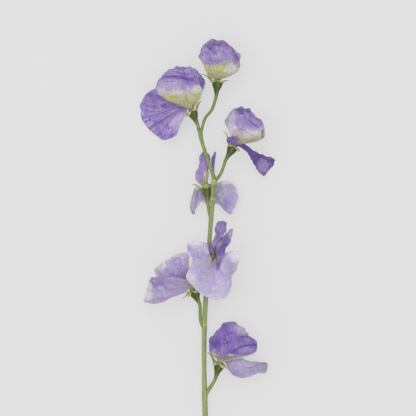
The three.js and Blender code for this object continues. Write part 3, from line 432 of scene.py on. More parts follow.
LOOKS = {
    "bloom_1_standard": {
        **HOOD, "seed": 33, "levels": (0.26, 0.43, 0.39, 0.64), "band": "pale", "rim": ("deep", 1.1, 0.4),
        "streaks": 0.56, "crumple": 1.3, "wander": 0.07, "frill": 0.8,
        "patches": [
            (3.2, 119.7, 3, 3.4, "deep", 0.55), (8.2, 123, 6, 1.6, "deep", 0.5),
            (20.6, 109.6, 2, 4, "deep", 0.5), (-1.4, 113.5, 3, 4.5, "lilac", 0.7),
            (10.7, 114.3, 5, 4, "lilac", 0.6), (18.4, 103.4, 5, 4, "white", 0.95),
            (22, 107, 2, 3, "lilac", 0.6), (2, 109, 3, 2, "violet", 0.5),
            (7, 109.5, 5, 1.4, "violet", 0.45), (8, 101, 7, 4, "pale_lime", 0.45),
        ],
        "lines": [
            ((-2.5, 122), (5.6, 115.6), 1.2, 0.55, -1), ((18.4, 117), (22.8, 111), 1.2, 0.7, -0.9),
            ((5, 121.8), (15, 121), 0.9, 0.5, -0.8), ((6, 102.5), (13.5, 100.3), 0.7, 0.15, -0.5),
            ((13.6, 119), (19, 112.4), 0.7, 0.35, -0.6), ((0.4, 116), (3.4, 108), 0.7, 0.3, -0.6),
        ],
    },
    "bloom_1_wing_left": {**WING, "seed": 2},
    "bloom_1_wing_right": {**WING, "seed": 3},
    "bloom_1_keel": {**KEEL, "seed": 4},
    "bloom_2_standard": {
        **HOOD, "seed": 5, "levels": (0.2, 0.42, 0.28, 0.56), "tilt": 0.03, "rim": ("deep", 0.9, 0.4),
        "patches": [
            (-27.7, 91.8, 9, 3.6, "frost", 0.55), (-34.4, 88, 5, 3, "frost", 0.5),
            (-31, 83.4, 6, 1.6, "tan", 0.3), (-7.8, 88.4, 3.6, 2.6, "white", 0.8),
            (-21, 86.4, 5, 1.8, "white", 0.5), (-13.4, 80, 6, 5, "lime", 0.75),
            (-12.2, 79.4, 4.4, 5, "pale_lime", 0.65), (-18.9, 104.6, 4, 2, "deep", 0.35),
            (-4.6, 94, 1.8, 6, "deep", 0.7), (-21, 97, 10, 1.8, "deep", 0.4),
            (-14, 94.4, 5.6, 2.6, "violet", 0.75), (-29.5, 83.6, 4.4, 1.8, "lime", 0.6),
        ],
        "lines": [
            ((-35.2, 98.1), (-25.2, 98.3), 1, 0.7, -1.2), ((-25.2, 98.3), (-11.8, 95.2), 1.2, 0.65, -1.2),
            ((-25, 101.6), (-14, 99.5), 0.9, 0.45, -0.8), ((-7, 98.4), (-3.4, 88), 0.9, 0.55, -0.9),
            ((-13, 79), (-10.6, 76), 0.8, 0.3, -0.5), ((-16.5, 84), (-14.6, 76.6), 0.7, 0.2, -0.6),
            ((-33, 94.6), (-24, 94), 0.7, 0.3, -0.6),
        ],
    },
    "bloom_2_wing_left": {
        **WING, "slot": "hood", "seed": 6, "foot": "pale", "streaks": 0.6, "veins": 0.6, "crumple": 0.8,
        "rim": ("violet", 0.8, 0.4), "body": "soft_violet", "band": "soft_violet",
        "patches": [
            (-42.7, 84, 8, 3.4, "deep", 0.6), (-36, 62, 8, 5, "violet", 0.4),
            (-51, 72.6, 1.8, 1.8, "white", 0.5), (-30, 66, 8, 5, "lilac", 0.35),
            (-46, 66.8, 3.4, 2.6, "pale", 0.6), (-41, 58.6, 2, 4, "pale", 0.5),
            (-23.6, 63.6, 4.6, 6, "frost", 0.95), (-19.6, 69, 3.4, 3.4, "frost", 0.9),
            (-30, 72.6, 6, 1.6, "pale", 0.5),
        ],
        "lines": [
            ((-20.5, 77.4), (-47, 77.6), 0.8, 0.4, -0.6), ((-20.5, 75.6), (-50, 68), 0.9, 0.45, -0.7),
            ((-22, 73.4), (-46, 60), 0.8, 0.5, -0.7), ((-23.5, 71.2), (-36, 56), 0.8, 0.5, -0.7),
        ],
    },
    "bloom_2_wing_right": {**WING, "seed": 7},
    "bloom_2_keel": {**KEEL, "seed": 8},
    "bloom_3_standard": {
        **HOOD, "seed": 9, "foot": "cream", "levels": (0.06, 0.26, 0.24, 0.56), "tilt": 0.1,
        "rim": ("deep", 0.9, 0.4), "crumple": 1,
        "patches": [
            (26, 66, 9, 6, "lilac", 0.45), (17, 68, 4, 6, "frost", 0.95),
            (16.4, 60, 4.5, 4.4, "white", 0.95), (24.2, 72.5, 3.4, 2.4, "deep", 0.55),
            (33.3, 63, 6, 3, "deep", 0.35), (31, 55.8, 8, 2, "white", 0.75),
            (28.5, 50.6, 8, 2.2, "cream", 0.6), (22, 53, 4, 1.8, "tan", 0.5),
            (34, 51.4, 3, 1.2, "tan", 0.4), (41, 55, 1.6, 4, "deep", 0.55), (31, 73, 4, 1.6, "deep", 0.45),
            (22, 63.6, 4, 2.4, "lilac", 0.6), (32, 66, 5, 3, "lilac", 0.5),
        ],
        "lines": [
            ((22.5, 74), (26.5, 70), 1, 0.55, -1), ((27, 67.5), (38, 60), 1, 0.35, -0.9),
            ((24, 59), (36, 52.6), 0.9, 0.2, -0.8), ((40.6, 57.6), (41.8, 52), 0.9, 0.65, -0.6),
            ((29.6, 72), (36.6, 66), 0.8, 0.4, -0.7),
        ],
    },
    "bloom_3_wing_left": {**WING, "seed": 10, "foot": "violet", "crumple": 0.4, "light": "mauve"},
    "bloom_3_wing_right": {
        **WING, "seed": 11, "foot": "deep", "band": "deep", "body": "deep", "light": "violet",
        "streaks": 0.35,
        "patches": [
            (42.4, 31.6, 4.8, 5.6, "lilac", 1), (45.4, 37.4, 2, 2, "lilac", 0.5),
            (34, 40.4, 3, 2, "violet", 0.6), (29, 44, 4, 2.4, "violet", 0.7),
            (24, 47, 2, 1.4, "lilac", 0.3),
        ],
        "lines": [
            ((38, 39.4), (47.6, 36.5), 0.9, 0.55, -0.8), ((45.4, 37.6), (47.4, 30.6), 0.7, 0.6, 0.7),
            ((39.6, 35.4), (42.6, 26.8), 0.5, 0.45, -0.4), ((41.4, 36), (44.8, 28), 0.4, 0.35, -0.3),
        ],
        "rim": ("deep", 0.9, 0.85),
    },
    "bloom_3_keel": {**KEEL, "seed": 12},
    "bloom_4_standard": {
        **OPEN, "seed": 13, "detail": 1.4, "rim": ("white", 1, 0.5),
        "patches": [
            (-6.2, 9.6, 4, 5, "violet", 0.32), (9, 8, 7, 8, "grey", 0.6), (12, 20.4, 5, 2.4, "white", 0.95),
            (13, 5, 2, 9, "violet", 0.25), (16, 2, 4, 7, "violet", 0.3), (15.6, 13, 4, 4, "grey", 0.4),
            (-11.6, 9, 1.8, 6, "white", 0.5), (6, 20, 2, 3, "sepal", 0.2),
        ],
        "lines": [
            ((10.4, 17), (16.4, -2), 0.7, 0.2, -0.7), ((-9.4, 13), (-10.4, 3), 0.8, 0.25, -0.8),
            ((3, 13), (11, 0), 2.2, 0.1, 1), ((6, 17), (17, 15), 1.8, 0.1, -0.8),
        ],
    },
    "bloom_4_wing_left": {**WING, "seed": 14, "streaks": 0.6},
    "bloom_4_wing_right": {
        **WING, "seed": 15, "slot": "pale", "streaks": 0.3, "body": "lilac", "band": "lilac",
        "patches": [
            (-2.6, 25, 1.8, 4, "cream", 0.8), (-1, 40, 2, 4, "pale", 0.7),
            (-7.4, 28, 2, 2.4, "violet", 0.3), (-5, 37, 1.6, 5, "mauve", 0.4), (-4, 31, 4, 3, "lilac", 0.5),
        ],
        "lines": [((-3.4, 42), (-5.6, 28), 0.5, 0.3, -0.5)],
    },
    "bloom_4_keel": {
        **KEEL, "seed": 16, "vein": "umber", "veins": 0.1,
        "patches": [(-1.6, 18, 2, 1.4, "sepal", 0.8), (-2.4, 15.4, 1.2, 1.2, "umber", 0.8)],
        "lines": [
            ((-1.6, 18), (-0.4, 29), 0.4, 0.8, -0.2), ((-3, 19), (-2.8, 25), 0.35, 0.8, 0),
            ((-0.4, 18), (0.4, 24), 0.3, 0.7, 0),
        ],
    },
    "bloom_5_standard": {
        **OPEN, "seed": 17, "detail": 1.4, "rim": ("white", 1, 0.4),
        "patches": [
            (-8.8, -26, 8, 2.2, "white", 0.8), (-14.2, -28.6, 1.6, 3.4, "violet", 0.25),
            (-1, -42, 9, 8, "grey", 0.6), (-12.4, -52.6, 4, 4.4, "white", 0.6),
            (20.2, -35.6, 4, 4.4, "white", 0.9), (18, -48, 4, 8, "grey", 0.5),
            (5, -67, 8, 3, "white", 0.35), (12, -58, 6, 7, "frost", 0.5), (-9, -35, 3, 6, "lilac", 0.3),
            (5, -52, 8, 6, "lilac", 0.25), (4, -38.6, 3, 1.6, "cream", 0.7), (15, -50, 3, 9, "violet", 0.2),
            (-11, -40, 2, 8, "violet", 0.25),
        ],
        "lines": [
            ((-13, -30), (-3, -39), 0.8, 0.15, -0.5), ((15.6, -38), (12.6, -46), 0.8, 0.2, -0.5),
            ((20.4, -45), (16, -60), 0.9, 0.22, -0.7), ((-9, -47), (-3, -58), 0.9, 0.1, -0.6),
            ((3, -43), (-12, -55), 2.8, 0.12, -1.2), ((5, -45), (1, -67), 2.4, 0.05, 1),
            ((8, -44), (17, -57), 2.8, 0.12, -1.1), ((-2, -34), (-13, -40), 2.2, 0.12, 1),
        ],
    },
    "bloom_5_wing_left": {
        **WING, "seed": 18, "light": "frost", "rim": ("deep", 0.5, 0.6),
        "patches": [
            (9.6, -21, 1.3, 5, "pale", 0.85), (9.6, -14, 3, 3, "lilac", 0.5), (2, -33, 3, 3, "violet", 0.6),
        ],
        "lines": [((9.6, -22), (2.6, -34), 0.7, 0.6, -0.3), ((12, -14), (8, -20), 0.5, 0.4, -0.4)],
    },
    "bloom_5_wing_right": {
        **WING, "seed": 19, "light": "frost", "rim": ("deep", 0.5, 0.6),
        "patches": [(11.4, -28.6, 2.4, 3, "deep", 0.5), (17, -19, 1.6, 5, "frost", 0.85)],
    },
    "bloom_5_keel": {**KEEL, "seed": 20},
    "bloom_6_standard": {
        **SOFT, "seed": 21,
        "patches": [
            (-46.2, -65, 4, 8, "white", 1), (-38.6, -56.4, 4, 3, "violet", 0.5),
            (-30, -56.6, 7, 3.4, "violet", 0.35), (-21, -60, 5, 4, "lilac", 0.5),
            (-15.4, -61.6, 3, 3, "cream", 0.6), (-33, -64.6, 6, 2, "frost", 0.5),
            (-46.4, -58, 3, 4, "white", 0.9),
        ],
        "lines": [
            ((-42, -54.6), (-33.4, -66), 0.9, 0.4, -0.9), ((-37.6, -53.4), (-28.6, -63), 0.7, 0.3, -0.7),
            ((-47, -70.4), (-21, -65.4), 0.6, 0.5, 0), ((-40.6, -52.6), (-24.6, -50.6), 0.8, 0.4, 0),
        ],
    },
    "bloom_6_wing_left": {
        **SOFT, "seed": 22, "rim": ("white", 3, 0.75),
        "patches": [
            (-35.6, -42, 4.6, 5, "white", 0.85), (-22, -34.4, 9, 2.4, "white", 0.75),
            (-18, -49.4, 4, 4, "violet", 0.35), (-21.6, -43, 5, 5, "lilac", 0.5),
            (-29, -49, 4, 3, "lilac", 0.6),
        ],
        "lines": [((-17.4, -53), (-26, -40), 0.8, 0.3, -0.7), ((-18.6, -54), (-33, -46), 0.8, 0.3, -0.7)],
    },
    "bloom_6_wing_right": {**WING, "seed": 23},
    "bloom_6_keel": {**KEEL, "seed": 24},
    "bloom_7_standard": {
        **HOOD, "seed": 25, "foot": "ivory", "band": "pale", "levels": (0.03, 0.12, 0.08, 0.2), "frill": 0.7,
        "body": "violet", "light": "mauve", "rim": ("deep", 0.7, 0.35), "veins": 0.36, "cloud": 1.3,
        "patches": [
            (8.2, -101.6, 6, 5, "deep", 0.5), (26.6, -90.6, 6, 4, "frost", 0.95),
            (4.4, -109.2, 2, 3, "cream", 0.8), (13, -112.4, 8, 2, "tan", 0.75),
            (15, -111, 5, 0.9, "umber", 0.4), (22, -110.4, 7, 0.9, "white", 0.6),
            (28, -106.4, 6, 3, "lilac", 0.8), (17, -97, 4, 3, "mauve", 0.4),
            (20, -90, 5, 2.4, "lilac", 0.5),
        ],
        "lines": [
            ((17.4, -108.4), (24.9, -103.7), 1.1, 0.75, -0.8), ((24.9, -103.7), (37.4, -102.2), 1, 0.8, -1),
            ((24, -96.2), (32.6, -95.6), 0.9, 0.4, -0.9), ((3, -97), (9, -88), 0.8, 0.35, -0.6),
            ((13, -94.6), (20, -93), 0.8, 0.35, -0.6), ((20, -111.6), (31, -108.6), 0.7, 0.4, -0.6),
            ((8, -104), (19, -98), 0.8, 0.35, -0.7),
        ],
    },
    "bloom_7_wing_left": {**WING, "seed": 26, "crumple": 0.1, "frill": 0.2},
    "bloom_7_wing_right": {
        **OPEN, "seed": 27, "rim": ("violet", 0.6, 0.45),
        "patches": [
            (43, -120.6, 3.6, 4.2, "grey", 0.7), (21, -125, 6, 3, "violet", 0.25),
            (30, -117, 7, 2, "white", 0.4),
        ],
        "lines": [((36.4, -117.6), (38.6, -124), 0.9, 0.3, -0.8)],
    },
    "bloom_7_keel": {**KEEL, "seed": 28},
}

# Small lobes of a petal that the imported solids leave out, each with the node that it belongs to.
SMALL_LOBES = {
    "bloom_5_wing_right_spur": {
        "node": "bloom_5_wing_right", "focus": (-12, -34, 0), "outline": (0.3, 2.2), "ruffle": (0.2, 2, 1),
        "look": {**WING, "seed": 29, "foot": "violet", "crumple": 0.2},
        "blade": [
            (12.4, -27, 39, 1.8, 0.4), (10.4, -32.6, 40.8, 2.7, 0.9), (8.8, -38, 40.6, 1.9, 0.8),
            (7.6, -42.4, 39.4, 1.3, 0.5), (6.2, -46.4, 38.4, 0.5, 0.2),
        ],
    },
    "bloom_5_standard_shoulder": {
        "node": "bloom_5_standard", "focus": (4, 160, 190), "outline": (0.15, 2.4), "ruffle": (0.2, 2, 0.5),
        "look": {
            **OPEN, "seed": 31, "foot": "pale",
            "patches": [(-3, -28, 5, 2, "white", 0.8), (3.6, -36.4, 2.4, 2, "cream", 0.9)],
        },
        "blade": [
            (3.8, -37.4, 31.8, 1, 0.1), (1.4, -34.6, 31.8, 2.2, 0.2), (-0.8, -31.6, 32.2, 3.2, 0.2),
            (-3, -28.6, 32.8, 3.6, 0.2), (-4.6, -26.4, 32.8, 3.4, 0.1),
        ],
    },
    "bloom_4_standard_tail": {
        "node": "bloom_4_standard", "focus": (-10, 8, 160), "outline": (0.1, 2.2), "ruffle": (0.3, 2, 0),
        "look": {
            **OPEN, "seed": 30, "foot": "frost", "band": "frost", "body": "lilac", "light": "white",
            "crumple": 0.1,
        },
        "blade": [
            (-9.2, 15, 13.6, 0.8, 0.1), (-10.4, 10, 14, 1.4, 0.3), (-11.2, 4.4, 13.8, 1.6, 0.4),
            (-11.4, -1, 12.8, 1.5, 0.3), (-10.4, -5, 11.6, 0.6, 0.1),
        ],
    },
}

# ---------------------------------------------------------------- sizes and colours that a user would change


def linear(code):
    """The linear colour of a hex code such as 9a7fc4."""
    parts = [int(code[i:i + 2], 16) / 255 for i in (0, 2, 4)]
    return tuple(c / 12.92 if c <= 0.04045 else ((c + 0.055) / 1.055) ** 2.4 for c in parts)


def colour(name, description, code):
    return FloatVectorProperty(
        name=name, description=description, subtype="COLOR", size=3, min=0, max=1, default=linear(code)
    )


def length(name, description, millimetres):
    return FloatProperty(
        name=name, description=description, subtype="DISTANCE", unit="LENGTH", min=0,
        default=millimetres * MM, precision=5,
    )


class SweetPeaPetalSizes(bpy.types.PropertyGroup):
    """The thickness and relief of the petals."""

    thickness: length("Thickness", "Thickness of a petal near its midrib", 0.36)
    margin: length("Margin thickness", "Thickness of a petal at its edge", 0.14)
    crinkle: length("Crinkle", "Height of the soft creases along a petal", 0.5)
    frill: length("Frill", "Height of the small waves at a petal's edge", 0.85)
    rows: IntProperty(name="Rows", description="Rows of faces along a broad petal", min=8, default=60)
    columns: IntProperty(name="Columns", description="Columns of faces over a broad petal", min=8, default=76)


class SweetPeaStemSizes(bpy.types.PropertyGroup):
    """The green parts."""

    ridge: length("Ridge", "Height of the ridges along the stem", 0.12)
    sepal: length("Sepal thickness", "Thickness of a sepal at its root", 0.9)
    sides: IntProperty(name="Sides", description="Sides round the stem", min=8, default=28)
    steps: IntProperty(name="Steps", description="Steps along the main stem", min=20, default=420)


class SweetPeaColours(bpy.types.PropertyGroup):
    """The colours of petals, green parts and floor."""

    # A look's vein colour (deep violet, violet or tan) also lays the painted shade along the petals' creases
    # and folds.
    violet: colour("Violet", "Wings, the lowest hood and the dark marks on others", "8a6bbd")
    soft_violet: colour("Soft violet", "Broad lower petal of the second bloom", "9a80c8")
    mauve: colour("Mauve", "Body of the upper standards", "aa93d1")
    lilac: colour("Lilac", "Light colour between the veins", "bfabdc")
    deep: colour("Deep violet", "Veins, creases and the small dark petals", "5c3f94")
    pale: colour("Pale lilac", "Body of the open standards", "b2aacb")
    frost: colour("Frost", "Light between the veins of the open standards", "c8c2d9")
    # White also lays the painted glints between the creases of the small folds.
    white: colour("White", "Frayed edges and light spots", "dedbe2")
    ivory: colour("Ivory", "Pale band over the foot of a standard", "dbd7cf")
    grey: colour("Grey", "Shadows of the open standards", "a9a4b6")
    cream: colour("Cream", "Keel petals and the foot of some standards", "d3cca4")
    umber: colour("Umber", "Fine lines in the open keel and hood", "5e4a34")
    tan: colour("Tan", "Veins of the keels and faded places on a foot", "a78c80")
    lime: colour("Lime", "Foot of the upper standards and flecks of the stem", "c9c88a")
    pale_lime: colour("Pale lime", "Light places on the foot of the upper standards", "dcdba6")
    sage: colour("Sage", "Lower stem", "929c67")
    green: colour("Green", "Upper stem and pedicels", "7f8f4a")
    sepal: colour("Sepal green", "Sepals and the rim of a calyx", "bcbf78")
    shade_green: colour("Dark green", "Calyces and creases of the stem", "414f1e")
    floor: colour("Floor", "Floor under the flower", "777777")
    floor_grain: colour("Floor grain", "Faint marks in the floor", "737373")


class SweetPeaStageSizes(bpy.types.PropertyGroup):
    """Camera, floor and lights."""

    distance: length("Camera distance", "Camera above the middle of the blooms", 1733)
    lens: FloatProperty(
        name="Lens", description="Focal length", subtype="DISTANCE_CAMERA", min=10, default=200
    )
    floor_size: length("Floor size", "Side of the square floor", 6000)
    floor_glow: FloatProperty(
        name="Floor glow", description="Light that the floor gives off", min=0, default=0.55
    )
    key_power: FloatProperty(
        name="Key light", description="Power of the main light", unit="POWER", min=0, default=17.5
    )
    sky: FloatProperty(name="Sky", description="Strength of the light from all round", min=0, default=0.67)


# ---------------------------------------------------------------- curves and frames


def catmull(points, t):
    """Points of a smooth curve through the given ones, at an array of shares t of its stations."""
    points = np.asarray(points, float)
    last = len(points) - 1
    place = np.clip(t, 0, 1) * last
    i = np.minimum(place.astype(int), last - 1)
    w = (place - i)[..., None]
    before = 2 * points[0] - points[1]
    after = 2 * points[-1] - points[-2]
    padded = np.vstack([before, points, after])
    p0, p1, p2, p3 = (padded[i + k] for k in range(4))
    t0 = 0.5 * (p2 - p0)
    t1 = 0.5 * (p3 - p1)
    return p1 + w * t0 + w**2 * (-3 * p1 + 3 * p2 - 2 * t0 - t1) + w**3 * (2 * p1 - 2 * p2 + t0 + t1)


def unit(a):
    """Vectors of length 1 in the same directions."""
    return a / np.maximum(np.linalg.norm(a, axis=-1, keepdims=True), 1e-12)


def heading(points, t, step=0.01):
    """The direction of the curve at the shares t."""
    return unit(catmull(points, np.minimum(1, t + step)) - catmull(points, np.maximum(0, t - step)))


def smoothstep(low, high, x):
    """A smooth step from 0 at low to 1 at high, for arrays."""
    s = np.clip((x - low) / (high - low), 0, 1)
    return s * s * (3 - 2 * s)


def axes_of(bloom):
    """The bloom's mouth and its own directions: along the calyx, towards the top and to the right."""
    along = unit(np.array(bloom["axis"], float))
    top = np.array(bloom["top"], float)
    top = unit(top - along * (top @ along))
    return np.array(bloom["mouth"], float), along, top, np.cross(along, top)


def in_bloom(bloom, a, t, r):
    """The place that lies a along, t towards the top and r to the right of a bloom's mouth."""
    mouth, along, top, right = axes_of(bloom)
    return mouth + along * a + top * t + right * r


# ---------------------------------------------------------------- petal surfaces


def blade_grid(rows, columns):
    """The shares u from 0 to 1 along a blade and v from -1 to 1 across it, row by row."""
    return np.meshgrid(np.linspace(0, 1, rows + 1), np.linspace(-1, 1, columns + 1), indexing="ij")


def claw_of(bloom, role):
    """The stations of a petal's narrow claw, from inside the calyx to its mouth."""
    t, r = (share * CLAW_OFFSET for share in CLAW_PLACES[role])
    return [(*in_bloom(bloom, a, t, r), CLAW_HALF_BREADTH, CLAW_CURL) for a in (-CLAW_DEPTH, CLAW_EXIT)]


def petal_shape(bloom, role):
    """The petal's table with its stations in the flower's layout, claw first."""
    petal = bloom[role]
    claw = claw_of(bloom, role)
    if "form" not in petal:
        return {**petal, "claws": len(claw), "stations": claw + petal["blade"]}
    form = FORMS[petal["form"]]
    side = petal.get("side", 1)
    stations = [(*in_bloom(bloom, a, t, r * side), *size) for a, t, r, *size in form["blade"]]
    return {**form, "focus": in_bloom(bloom, *form["focus"]), "claws": len(claw), "stations": claw + stations}


def middle_surface(shape, u, v):
    """Points of the blade's middle, for u from 0 at the claw's root to 1 and v from -1 to 1 across it."""
    stations = np.array(shape["stations"], float)
    spine, size = stations[:, :3], stations[:, 3:]
    claws = shape.get("claws", 0)
    claw_end = claws / (len(stations) - 1)
    share = CLAW_SHARE if claws else 0
    out = np.maximum(0, (u - share) / (1 - share))
    t = claw_end + (1 - claw_end) * out * reach(shape, v)
    if share:
        t = np.where(u < share, claw_end * u / share, t)
    point = catmull(spine, t)
    along = heading(spine, t)
    inwards = np.array(shape["focus"], float) - point
    grain = np.broadcast_to(np.array(shape.get("grain", (0, 0, 0)), float), along.shape)
    across = unit(np.cross(grain if "grain" in shape else along, inwards))
    hollow = unit(np.cross(across, along))
    breadth, depth = np.moveaxis(catmull(size, t), -1, 0)
    height, waves, phase = shape.get("ruffle", (0, 1, 0))
    strength = height * out**2 * (RUFFLE_MIDDLE + RUFFLE_EDGE * abs(v))
    wave = strength * np.sin(waves * math.pi * v + phase + RUFFLE_SLANT * u)
    bend = (1 - np.cos(SECTION_TURN * v)) / (1 - math.cos(SECTION_TURN))
    if "fan" in shape:
        point = point + spread_of(shape, spine, claw_end, point, out, v)
    side = breadth * np.sin(SECTION_TURN * v) / math.sin(SECTION_TURN)
    return point + across * side[..., None] + hollow * (depth * bend + wave)[..., None]


def reach(shape, v):
    """How far the blade runs at v across it, as a share of its length."""
    if "lobes" in shape:
        left, right = (catmull(np.array(side)[:, None], abs(v))[..., 0] for side in shape["lobes"])
        return np.where(v < 0, left, right)
    shoulder, power = shape.get("outline", (0, 2))
    return 1 - shoulder * abs(v) ** power


def spread_of(shape, spine, claw_end, point, out, v):
    """How far a fan petal's points turn round the end of its claw."""
    centre = catmull(spine, np.array(claw_end))
    along = unit(spine[-1] - centre)
    across = unit(np.cross(along, np.array(shape["focus"], float) - centre))
    radius = np.linalg.norm(point - centre, axis=-1)
    left, right = (math.radians(a) for a in shape["fan"])
    sweep = np.where(v < 0, left, right) * v
    moved = across * (radius * np.sin(sweep))[..., None] - along * (radius * (1 - np.cos(sweep)))[..., None]
    return np.where((out > 0)[..., None], moved, 0)


def frame_offset():
    """From the flower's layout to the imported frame, read off one petal whose form both share."""
    shape = petal_shape(BLOOMS["bloom_1"], "keel")
    points = middle_surface(shape, *blade_grid(*PACKED_GRID)).reshape(-1, 3)
    low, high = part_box("bloom_1_keel")
    return np.array((low + high) / 2) / MM - (points.min(0) + points.max(0)) / 2


# ---------------------------------------------------------------- meshes


def new_piece(name, points, faces, attributes, material, nodes):
    """A smooth mesh piece from points in the flower's layout, with point attributes, riding on the root."""
    mesh = bpy.data.meshes.new(name)
    mesh.from_pydata(((points + OFFSET) * MM).tolist(), [], faces)
    for key, values in attributes.items():
        layer = mesh.attributes.new(key, "FLOAT_VECTOR", "POINT")
        layer.data.foreach_set("vector", np.asarray(values, np.float32).ravel())
    mesh.shade_smooth()
    mesh.materials.append(material)
    piece = bpy.data.objects.new(name, mesh)
    bpy.context.scene.collection.objects.link(piece)
    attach(piece, "root")
    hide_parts(*nodes)


def grid_faces(rows, columns, start=0, flip=False, closed=False):
    """Quads over rows + 1 lines of points. A closed grid joins its last column to its first."""
    wide = columns if closed else columns + 1
    faces = []
    for i in range(rows):
        for j in range(columns):
            a = start + i * wide + j
            d = start + i * wide + (j + 1) % wide
            quad = (a, a + wide, d + wide, d)
            faces.append(quad[::-1] if flip else quad)
    return faces


def shell(middle, thickness):
    """Points and faces of a closed blade round its middle surface, both faces split alike."""
    rows, columns = middle.shape[0] - 1, middle.shape[1] - 1
    du = np.gradient(middle, axis=0)
    dv = np.gradient(middle, axis=1)
    normal = unit(np.cross(du, dv))
    half = thickness[..., None] / 2
    points = np.concatenate([(middle + normal * side).reshape(-1, 3) for side in (half, -half)])
    under = (rows + 1) * (columns + 1)
    faces = grid_faces(rows, columns) + grid_faces(rows, columns, under, flip=True)
    wide = columns + 1
    far = rows * wide
    rim = [(j, j + 1) for j in range(columns)]
    rim += [(far + j + 1, far + j) for j in range(columns)]
    rim += [((i + 1) * wide, i * wide) for i in range(rows)]
    rim += [(i * wide + columns, (i + 1) * wide + columns) for i in range(rows)]
    faces += [(a, b, under + b, under + a) for a, b in rim]
    return points, faces


def noise_over(points, scale, seed):
    """Smooth noise from -1 to 1 at points that are given as rows of three numbers."""
    shift = Vector([seed * step for step in SEED_STEPS])
    flat = points.reshape(-1, 3) * scale
    values = [noise.noise(Vector(p) + shift) for p in flat]
    return np.array(values).reshape(points.shape[:-1])


def margin_distance(middle):
    """Millimetres from each point to the blade's nearest free edge, along its rows and columns."""
    across = np.linalg.norm(np.diff(middle, axis=1), axis=-1)
    left = np.concatenate([np.zeros((len(across), 1)), np.cumsum(across, axis=1)], axis=1)
    right = left[:, -1:] - left
    along = np.linalg.norm(np.diff(middle, axis=0), axis=-1)
    run = np.concatenate([np.zeros((1, along.shape[1])), np.cumsum(along, axis=0)], axis=0)
    return np.minimum(np.minimum(left, right), run[-1:] - run)


def crumpled(middle, seed):
    """Soft dents and sharper small folds over a blade, each from about -1 to 1."""
    soft = noise_over(middle, DENT_SCALE, seed)
    warped = middle + noise_over(middle, WARP_SCALE, seed + 2)[..., None] * WARP_REACH
    folds = 1 - FOLD_SHARPNESS * abs(noise_over(warped, FOLD_SCALE, seed + 4))
    fine = 1 - FOLD_SHARPNESS * abs(noise_over(warped, FINE_FOLD_SCALE, seed + 6))
    return soft, (1 - FINE_FOLD_SHARE) * folds + FINE_FOLD_SHARE * fine


def dip(middle, start, end, width):
    """1 on the straight line between two places of the layout and 0 off it."""
    (x0, y0), (x1, y1) = start, end
    x, y = middle[..., 0], middle[..., 1]
    run = (x1 - x0) ** 2 + (y1 - y0) ** 2
    t = np.clip(((x - x0) * (x1 - x0) + (y - y0) * (y1 - y0)) / run, 0, 1)
    gap = np.hypot(x - x0 - t * (x1 - x0), y - y0 - t * (y1 - y0))
    fade = np.sqrt(np.sin(math.pi * np.clip(t, DIP_END, 1 - DIP_END)))
    return np.exp(-((gap / width) ** 2)) * fade


def build_petal(name, shape, look, node, sizes, colours, share):
    """One petal or lobe: its blade with creases and frill, thinned at its edge, and its paint."""
    detail = share * look.get("detail", 1)
    wanted = (round(sizes.rows * detail), round(sizes.columns * detail))
    u, v = blade_grid(*np.maximum(wanted, FEWEST_FACES))
    claw_share = CLAW_SHARE if "claws" in shape else 0
    out = np.maximum(0, (u - claw_share) / (1 - claw_share))
    middle = middle_surface(shape, u, v)
    normal = unit(np.cross(np.gradient(middle, axis=0), np.gradient(middle, axis=1)))
    inwards = np.array(shape["focus"]) - middle
    normal = normal * np.where((normal * inwards).sum(-1, keepdims=True) > 0, -1, 1)
    edge = margin_distance(middle)
    grown = smoothstep(*RELIEF_STARTS, out)
    soft, folds = crumpled(middle, look["seed"])
    crumple = sizes.crinkle / MM * look["crumple"]
    frill = noise_over(middle, FRILL_SCALE, look["seed"] + 5) * np.exp(-edge / FRILL_REACH)
    waves = sizes.frill / MM * look.get("frill", 1) * frill
    lift = grown * (crumple * (DENT_HEIGHT * soft + FOLD_HEIGHT * folds) + FRILL_HEIGHT * waves)
    for start, end, width, _, height in look.get("lines", ()):
        lift += grown * height * dip(middle, start, end, width)
    rest = middle
    middle = middle + normal * lift[..., None]
    middle[..., 2] = np.maximum(middle[..., 2], sizes.thickness / MM - OFFSET[2])
    thin = smoothstep(0, THINNING, edge)
    thickness = (sizes.margin + (sizes.thickness - sizes.margin) * thin) / MM
    points, faces = shell(middle, thickness)
    sides = {"blade": np.stack([u, v, edge], axis=-1), "spot": rest}
    attributes = {key: np.concatenate([values.reshape(-1, 3)] * 2) for key, values in sides.items()}
    material = petal_material(name, look, colours)
    new_piece(f"petal_{name}", points, faces, attributes, material, [node])


def build_petals(scene, roles, share):
    """The petals of one kind on every bloom."""
    sizes, colours = scene.sweet_pea_petals, scene.sweet_pea_colours
    for bloom_name, bloom in BLOOMS.items():
        for role in roles:
            name = f"{bloom_name}_{role}"
            build_petal(name, petal_shape(bloom, role), LOOKS[name], name, sizes, colours, share)


# ---------------------------------------------------------------- shader maths
# The scales and shares of the paint. A pair that is called ENDS holds where a smooth step starts and stops.

NOISE_GAIN = 5

